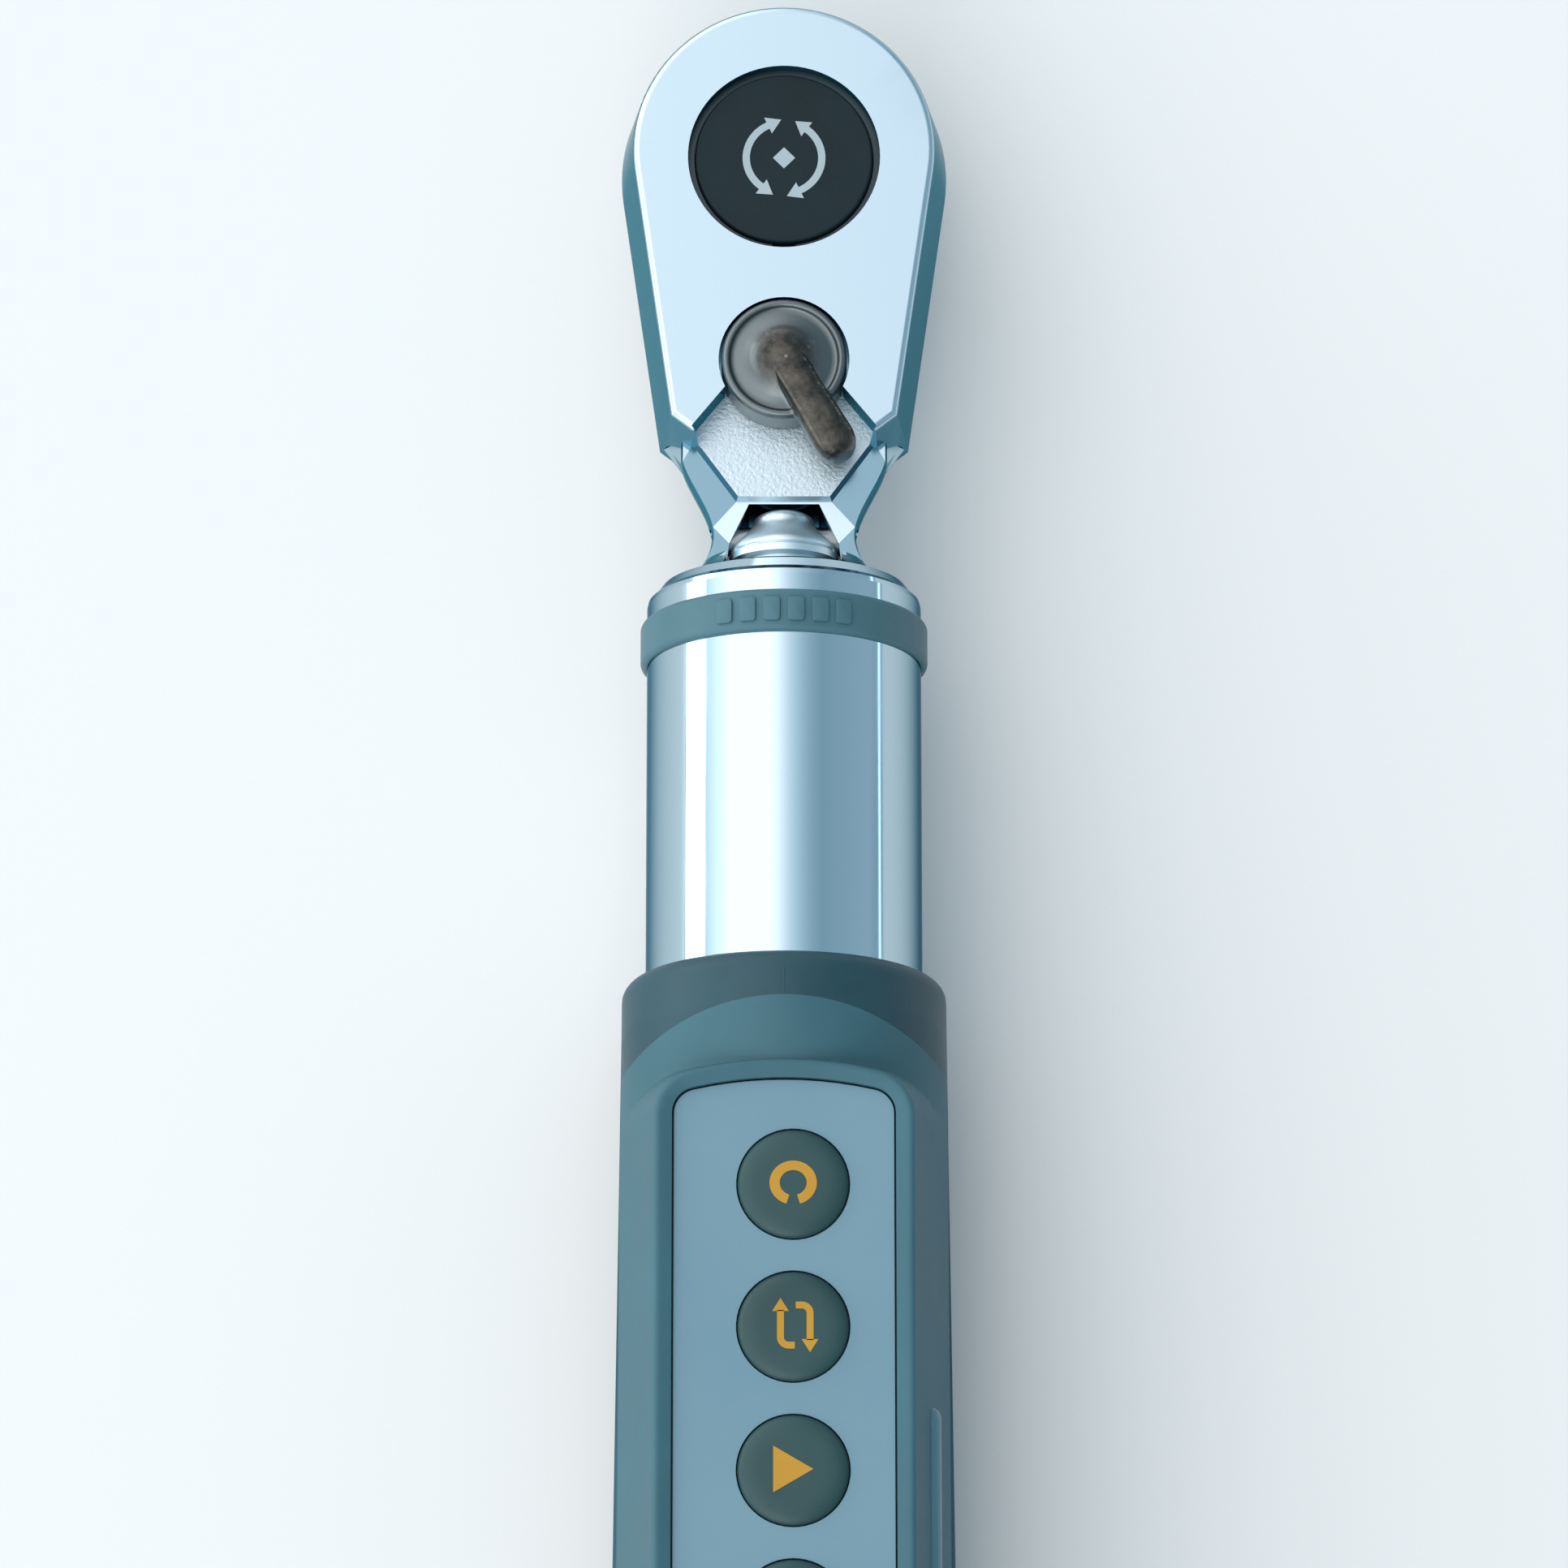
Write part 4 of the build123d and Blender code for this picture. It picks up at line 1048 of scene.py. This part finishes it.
@dataclass
class ReversingLever:
    """The one-piece cast lever: dished hub, rising arm and shaft."""

    hub_radius: float = 6.43
    rim: float = 0.75
    dish: float = 0.5
    arm_width: float = 4.5
    arm_reach: float = 9.9
    shaft_radius: float = 3.5
    voxel: float = 0.13
    passes: int = 8

    def build(self, palette: Palette) -> None:
        """Casts the lever, and dresses its plunger and spring."""
        low, high, _ = node_box("reversing_lever")
        pivot = joint_place("lever_swing")
        blank = self.hub(pivot, low.z, high.z)
        join(blank, self.arm(pivot, high.z))
        bm = self.melt(blank)
        make_piece("lever_casting", bm, "lever", [palette.lever_bronze], ("reversing_lever",))
        dress(palette.spring_steel, "lever_plunger")
        build_spring(palette, "plunger_spring", "lever")

    def hub(self, pivot: Vector, low: float, high: float) -> bmesh.types.BMesh:
        """Turns the shaft, the hub and its dished top with a low dome in the middle.

        Args:
            pivot: the lever's pivot in millimetres.
            low: the level of the shaft's end.
            high: the level of the arm's top.

        Returns:
            The turned blank.
        """
        rim_top = high - 1.95
        skirt = high - 5.85
        return turn(
            [
                (0, low),
                (self.shaft_radius, low),
                (self.shaft_radius, skirt + 0.05),
                (self.hub_radius, skirt),
                (self.hub_radius, rim_top - 0.5),
                (self.hub_radius - 0.35, rim_top),
                (self.hub_radius - self.rim, rim_top),
                (self.hub_radius - self.rim - 0.2, rim_top - self.dish),
                (4.9, rim_top - self.dish * 0.95),
                (4.2, rim_top - self.dish * 0.4),
                (3.5, rim_top + 0.2),
                (2.8, rim_top + 0.75),
                (2.0, rim_top + 1.15),
                (1.1, rim_top + 1.4),
                (0, rim_top + 1.5),
            ],
            TurnAxis.UPRIGHT,
            pivot,
            96,
        )

    def arm(self, pivot: Vector, high: float) -> bmesh.types.BMesh:
        """Lofts the arm: a rounded ridge that leaves the dome and ends in a blunt nose.

        Args:
            pivot: the lever's pivot in millimetres.
            high: the level of the arm's top.

        Returns:
            The arm, turned to its rest angle.
        """
        half = self.arm_width / 2
        reach = self.arm_reach + half
        stations = (
            (-2.2, 0.40, 1.6, 1.2),
            (-1.2, 0.72, 2.0, 0.45),
            (1.0, 0.84, 2.4, 0.12),
            (4.5, 0.88, 3.2, 0.04),
            (7.5, 0.96, 4.2, 0.0),
            (reach - 2.0, 1.0, 4.4, 0.05),
            (reach - 1.0, 0.92, 4.3, 0.2),
            (reach - 0.35, 0.74, 4.0, 0.6),
            (reach, 0.50, 3.3, 1.2),
        )
        bm = bmesh.new()
        loops = []
        for along, width, depth, drop in stations:
            top = high - drop
            section = bmesh.ops.create_circle(bm, segments=20, radius=1.0, cap_ends=False)["verts"]
            for vert in section:
                side, up = vert.co.x, vert.co.y
                flat = math.copysign(abs(side) ** 0.7, side) * half * width
                rise = top - depth / 2 + math.copysign(abs(up) ** 0.8, up) * depth / 2
                vert.co = mm(flat, -along, rise)
            loops.append([edge for edge in {e for v in section for e in v.link_edges}])
        bmesh.ops.bridge_loops(bm, edges=[edge for loop in loops for edge in loop])
        bmesh.ops.holes_fill(bm, edges=[e for e in bm.edges if e.is_boundary], sides=0)
        bmesh.ops.rotate(bm, verts=bm.verts, cent=Vector((0, 0, 0)), matrix=Matrix.Rotation(math.radians(30), 3, "Z"))
        bmesh.ops.translate(bm, verts=bm.verts, vec=mm(pivot.x, pivot.y, 0))
        bmesh.ops.recalc_face_normals(bm, faces=bm.faces)
        return bm

    def melt(self, blank: bmesh.types.BMesh) -> bmesh.types.BMesh:
        """Runs the hub and arm into one casting with soft inside corners.

        Args:
            blank: the hub and arm as crossing meshes, which are freed.

        Returns:
            One smooth closed mesh.
        """
        mesh = bpy.data.meshes.new("lever_blank")
        blank.to_mesh(mesh)
        blank.free()
        holder = bpy.data.objects.new("lever_blank", mesh)
        bpy.context.scene.collection.objects.link(holder)
        remesh = holder.modifiers.new("cast", "REMESH")
        remesh.mode = "VOXEL"
        remesh.voxel_size = self.voxel * MM
        smooth = holder.modifiers.new("tumble", "SMOOTH")
        smooth.factor = 0.5
        smooth.iterations = self.passes
        graph = bpy.context.evaluated_depsgraph_get()
        graph.update()
        cast = bpy.data.meshes.new_from_object(holder.evaluated_get(graph))
        bpy.data.objects.remove(holder)
        bm = bmesh.new()
        bm.from_mesh(cast)
        bpy.data.meshes.remove(cast)
        for face in bm.faces:
            face.smooth = True
        return bm


@dataclass
class SensorTube:
    """Front cap, rubber ring, polished tube and the strain-gauged beam inside."""

    pad_count: int = 6
    pad_pitch_deg: float = 9.6
    pad_length: float = 1.7
    pad_width: float = 2.5
    pad_height: float = 0.25
    bell_nose_radius: float = 3.1
    bell_nose_length: float = 1.2
    bell_lip_radius: float = 5.55
    bell_length: float = 4.6

    def build(self, palette: Palette) -> None:
        """Dresses the tube and its inside, and moulds the pads on the ring."""
        dress(palette.bright_chrome, "chrome_tube", "front_cap")
        self.build_beam(palette)
        dress(palette.ring_rubber, "rubber_ring")
        dress(palette.tool_steel, "cross_pin", "spigot_pins", "anchor_pin")
        dress(palette.polyimide, "strain_gauges", "gauge_lead")
        self.build_pads(palette)

    def build_beam(self, palette: Palette) -> None:
        """Copies the beam and rolls the front of its nose into one smooth bell."""
        bm = copy_of_node("sensor_beam")
        front = node_box("sensor_beam")[1].y
        axis_height = node_box("chrome_tube")[2].z * MM
        for vert in bm.verts:
            depth = front - vert.co.y / MM
            radius = math.hypot(vert.co.x, vert.co.z - axis_height)
            if depth < self.bell_length and radius > 0:
                grown = self.bell_radius(depth) * MM / radius
                vert.co.x *= grown
                vert.co.z = axis_height + (vert.co.z - axis_height) * grown
        soften(bm, 34.0)
        piece = make_piece("beam_nose", bm, "wrench", [palette.nose_chrome], ("sensor_beam",))
        settle_normals(piece)

    def bell_radius(self, depth: float) -> float:
        """The bell's radius in millimetres, a given depth behind its tip."""
        if depth < self.bell_nose_length:
            return self.bell_nose_radius * math.sqrt(max(0.0, 1 - (1 - depth / self.bell_nose_length) ** 2))
        part = (depth - self.bell_nose_length) / (self.bell_length - self.bell_nose_length)
        return self.bell_nose_radius + (self.bell_lip_radius - self.bell_nose_radius) * part * part * (3 - 2 * part)

    def build_pads(self, palette: Palette) -> None:
        """A short row of raised pads in place of lettering, in the ring's own rubber."""
        low, high, centre = node_box("rubber_ring")
        radius = (high.x - low.x) / 2
        pads = bmesh.new()
        for index in range(self.pad_count):
            bm = bmesh.new()
            size = mm(self.pad_length, self.pad_width, 2 * self.pad_height)
            bmesh.ops.create_cube(bm, size=1.0, matrix=Matrix.Diagonal(size.to_4d()))
            upright = [e for e in bm.edges if abs((e.verts[0].co - e.verts[1].co).normalized().z) > 0.9]
            round_over(bm, 0.35, upright, 4)
            round_over(bm, 0.1, sharp_edges(bm, 60), 2)
            turn_by = math.radians((index - (self.pad_count - 1) / 2) * self.pad_pitch_deg)
            bmesh.ops.translate(bm, verts=bm.verts, vec=mm(0, centre.y, radius))
            bmesh.ops.rotate(bm, verts=bm.verts, cent=Vector(), matrix=Matrix.Rotation(turn_by, 3, "Y"))
            bmesh.ops.translate(bm, verts=bm.verts, vec=mm(centre.x, 0, centre.z))
            soften(bm)
            join(pads, bm)
        make_piece("ring_pads", pads, "wrench", [palette.ring_rubber])


@dataclass
class Handle:
    """The two grip shells, their screws, the light rib and the mould line on the collar."""

    crease_limit: float = 28.0
    line_width: float = 0.16
    line_height: float = 0.05
    collar_radius: float = 16.35

    def build(self, palette: Palette) -> None:
        """Dresses the shells and adds the mould line."""
        self.build_skin("upper_shell", "soft_overmould", palette.soft_grip)
        self.build_skin("lower_shell", "hard_shell", palette.collar_black)
        dress(palette.rib_rubber, "light_rib")
        dress(palette.dark_steel, "shell_screws")
        self.build_line(palette)

    def build_skin(self, node: str, name: str, material: bpy.types.Material) -> None:
        """Copies a shell with its shallow creases shaded as one flowing skin.

        Args:
            node: the CAD node.
            name: the piece's name.
            material: its finish.
        """
        bm = copy_of_node(node)
        soften(bm, self.crease_limit)
        piece = make_piece(name, bm, "wrench", [material], (node,))
        settle_normals(piece)

    def build_line(self, palette: Palette) -> None:
        """A hair-fine raised line where the mould halves met, on top of the collar."""
        shell_front = node_box("lower_shell")[1]
        soft_front = node_box("upper_shell")[1]
        axis_height = node_box("chrome_tube")[2].z
        top = axis_height + self.collar_radius
        start, end = shell_front.y - 2.2, soft_front.y + 0.1
        bm = bmesh.new()
        size = mm(self.line_width, start - end, 2 * self.line_height)
        bmesh.ops.create_cube(bm, size=1.0, matrix=Matrix.Diagonal(size.to_4d()))
        bmesh.ops.translate(bm, verts=bm.verts, vec=mm(0, (start + end) / 2, top))
        round_over(bm, 0.04, None, 2)
        make_piece("collar_mould_line", bm, "wrench", [palette.collar_black])


class Icon(Enum):
    """What is printed on a button."""

    RING = "open ring"
    SWAP = "two opposed arrows"
    UP = "triangle to the right"
    DOWN = "triangle to the left"


@dataclass
class Keypad:
    """The fascia panel and its four buttons with their printed icons."""

    icons: tuple[Icon, ...] = (Icon.RING, Icon.SWAP, Icon.UP, Icon.DOWN)
    print_thickness: float = 0.03
    stroke: float = 1.0
    ring_radius: float = 1.83
    ring_gap: float = 1.05
    ring_squash: float = 0.95
    arrow_spread: float = 1.45
    arrow_bend: float = 0.8
    arrow_stroke: float = 0.68
    triangle: tuple[float, float] = (1.96, 2.3)
    skirt_drop: float = 1.95
    flange_proud: float = 0.7
    flange_thickness: float = 0.8
    stem_radius: float = 1.6

    def build(self, palette: Palette) -> None:
        """Dresses the panel and makes the buttons."""
        dress(palette.panel_film, "fascia_panel")
        for index, icon in enumerate(self.icons):
            self.build_button(palette, index + 1, icon)

    def build_button(self, palette: Palette, number: int, icon: Icon) -> None:
        """Turns one domed button and prints its icon.

        Args:
            palette: the finishes.
            number: the button's number, from the head.
            icon: what is printed on it.
        """
        node = f"button_{number}"
        low, high, centre = node_box(node)
        radius = (high.x - low.x) / 2 - self.flange_proud
        flange_top = high.z - self.skirt_drop - 0.05
        bm = turn(
            [
                (0, low.z),
                (self.stem_radius, low.z),
                (self.stem_radius, flange_top - self.flange_thickness),
                (radius + self.flange_proud, flange_top - self.flange_thickness),
                (radius + self.flange_proud, flange_top),
                (radius, flange_top),
                (radius, high.z - 0.95),
                (radius - 0.05, high.z - 0.72),
                (radius - 0.18, high.z - 0.5),
                (radius - 0.4, high.z - 0.32),
                (radius - 0.75, high.z - 0.17),
                (radius - 1.2, high.z - 0.07),
                (radius - 1.8, high.z - 0.015),
                (radius - 2.4, high.z),
                (0, high.z),
            ],
            TurnAxis.UPRIGHT,
            centre,
            96,
        )
        soften(bm, 38)
        piece = make_piece(f"button_cap_{number}", bm, node, [palette.button_rubber], (node,))
        settle_normals(piece)
        level = high.z - 0.005
        mark = self.icon_mesh(icon, centre, level)
        make_piece(f"button_icon_{number}", mark, node, [palette.amber_ink])

    def icon_mesh(self, icon: Icon, centre: Vector, level: float) -> bmesh.types.BMesh:
        """One printed icon.

        Args:
            icon: which one.
            centre: the button's centre in millimetres.
            level: the height of the print's underside.

        Returns:
            The icon as closed flat shapes.
        """
        thick = self.print_thickness
        if icon is Icon.RING:
            half_gap = math.degrees(math.asin(self.ring_gap / 2 / self.ring_radius))
            bm = arc_band(Vector(), self.ring_radius, self.stroke, level, half_gap - 90, 360 - 2 * half_gap, thick)
            bmesh.ops.scale(bm, verts=bm.verts, vec=Vector((1, self.ring_squash, 1)))
            bmesh.ops.translate(bm, verts=bm.verts, vec=mm(centre.x, centre.y, 0))
            return bm
        if icon is Icon.SWAP:
            return self.swap_arrows(centre, level)
        way = 1 if icon is Icon.UP else -1
        half_x, half_y = self.triangle
        corners = [(half_x * way, 0.0), (-half_x * way, half_y), (-half_x * way, -half_y)]
        return flat_shape([(centre.x + x, centre.y + y) for x, y in corners], level, thick)

    def swap_arrows(self, centre: Vector, level: float) -> bmesh.types.BMesh:
        """Two arrows with bent tails, one towards the head and one towards the grip.

        Args:
            centre: the button's centre in millimetres.
            level: the height of the print's underside.

        Returns:
            The icon as closed flat shapes.
        """
        thick = self.print_thickness
        half = self.arrow_stroke / 2
        bend = self.arrow_bend
        icon = bmesh.new()
        for way in (1, -1):
            stem_x = -self.arrow_spread
            tail_y = -2.0
            arrow = arc_band((stem_x + bend, tail_y + bend), bend, 2 * half, level, 180, 90, thick)
            stem = [(stem_x - half, tail_y + bend), (stem_x + half, tail_y + bend), (stem_x + half, 1.5),
                    (stem_x - half, 1.5)]
            tail = [(stem_x + bend, tail_y - half), (stem_x + bend + 0.6, tail_y - half),
                    (stem_x + bend + 0.6, tail_y + half), (stem_x + bend, tail_y + half)]
            point = [(stem_x - 0.82, 1.4), (stem_x + 0.82, 1.4), (stem_x, 2.7)]
            join(arrow, *(flat_shape(shape, level, thick) for shape in (stem, tail, point)))
            turn_about = Matrix.Rotation(0.0 if way > 0 else math.pi, 3, "Z")
            bmesh.ops.rotate(arrow, verts=arrow.verts, cent=Vector(), matrix=turn_about)
            join(icon, arrow)
        bmesh.ops.translate(icon, verts=icon.verts, vec=mm(centre.x + 0.2, centre.y, 0))
        return icon


@dataclass
class Display:
    """The display module, its window and four generic digits."""

    digit_height: float = 9.0
    digit_width: float = 4.8
    digit_pitch: float = 6.8
    stroke: float = 1.15
    reading: str = "0000"
    segments: dict[str, str] = field(default_factory=lambda: {"0": "abcdef"})

    def build(self, palette: Palette) -> None:
        """Dresses the module and its window, and lays the digits on the glass."""
        dress(palette.display_glass, "lcd_module")
        dress(palette.clear_window, "lcd_window")
        _, high, centre = node_box("lcd_module")
        self.build_digits(palette, centre, high.z)

    def build_digits(self, palette: Palette, centre: Vector, level: float) -> None:
        """Seven-segment digits that read along the grip.

        Args:
            palette: the finishes.
            centre: the module's centre in millimetres.
            level: the height of the glass.
        """
        bm = bmesh.new()
        count = len(self.reading)
        for place, digit in enumerate(self.reading):
            along = centre.y - (place - (count - 1) / 2) * self.digit_pitch
            for name in self.segments[digit]:
                corners = self.segment_box(name)
                points = [(centre.x + up, along - right) for right, up in corners]
                join(bm, flat_shape(points, level, 0.03))
        bmesh.ops.recalc_face_normals(bm, faces=bm.faces)
        make_piece("display_digits", bm, "wrench", [palette.display_ink])

    def segment_box(self, name: str) -> list[tuple[float, float]]:
        """The six corners of one segment, as (right, up) of the digit's centre."""
        half_w, half_h, s = self.digit_width / 2, self.digit_height / 2, self.stroke / 2
        level_of = {"a": half_h, "g": 0.0, "d": -half_h}
        if name in level_of:
            y, end = level_of[name], half_w - 0.12
            return [(-end, y), (-end + s, y + s), (end - s, y + s), (end, y), (end - s, y - s), (-end + s, y - s)]
        x = half_w if name in "bc" else -half_w
        low, high = (0.12, half_h - 0.12) if name in "bf" else (-half_h + 0.12, -0.12)
        return [(x, low), (x - s, low + s), (x - s, high - s), (x, high), (x + s, high - s), (x + s, low + s)]


@dataclass
class PowerBay:
    """Electronics, cells and the screwed battery cap."""

    def build(self, palette: Palette) -> None:
        """Dresses what is inside the grip and the cap at its end."""
        dress(palette.circuit_green, "main_pcb")
        dress(palette.plain_dark, "pcb_chips", "buzzer", "battery_tray")
        dress(palette.spring_steel, "dome_switches", "front_contact", "cap_contact")
        dress(palette.clear_window, "status_lamps")
        dress(palette.cell_wrap, "battery_cell_right", "battery_cell_left")
        dress(palette.ring_rubber, "cap_seal")
        dress(palette.collar_black, "battery_cap")


def main() -> None:
    """Builds every sub-assembly and reports each piece."""
    logging.basicConfig(level=logging.INFO, format="%(name)s: %(message)s")
    Studio().build()
    palette = Palette()
    for assembly in (DriveHead(), ReversingLever(), SensorTube(), Handle(), Keypad(), Display(), PowerBay()):
        assembly.build(palette)


if __name__ == "__main__":
    main()
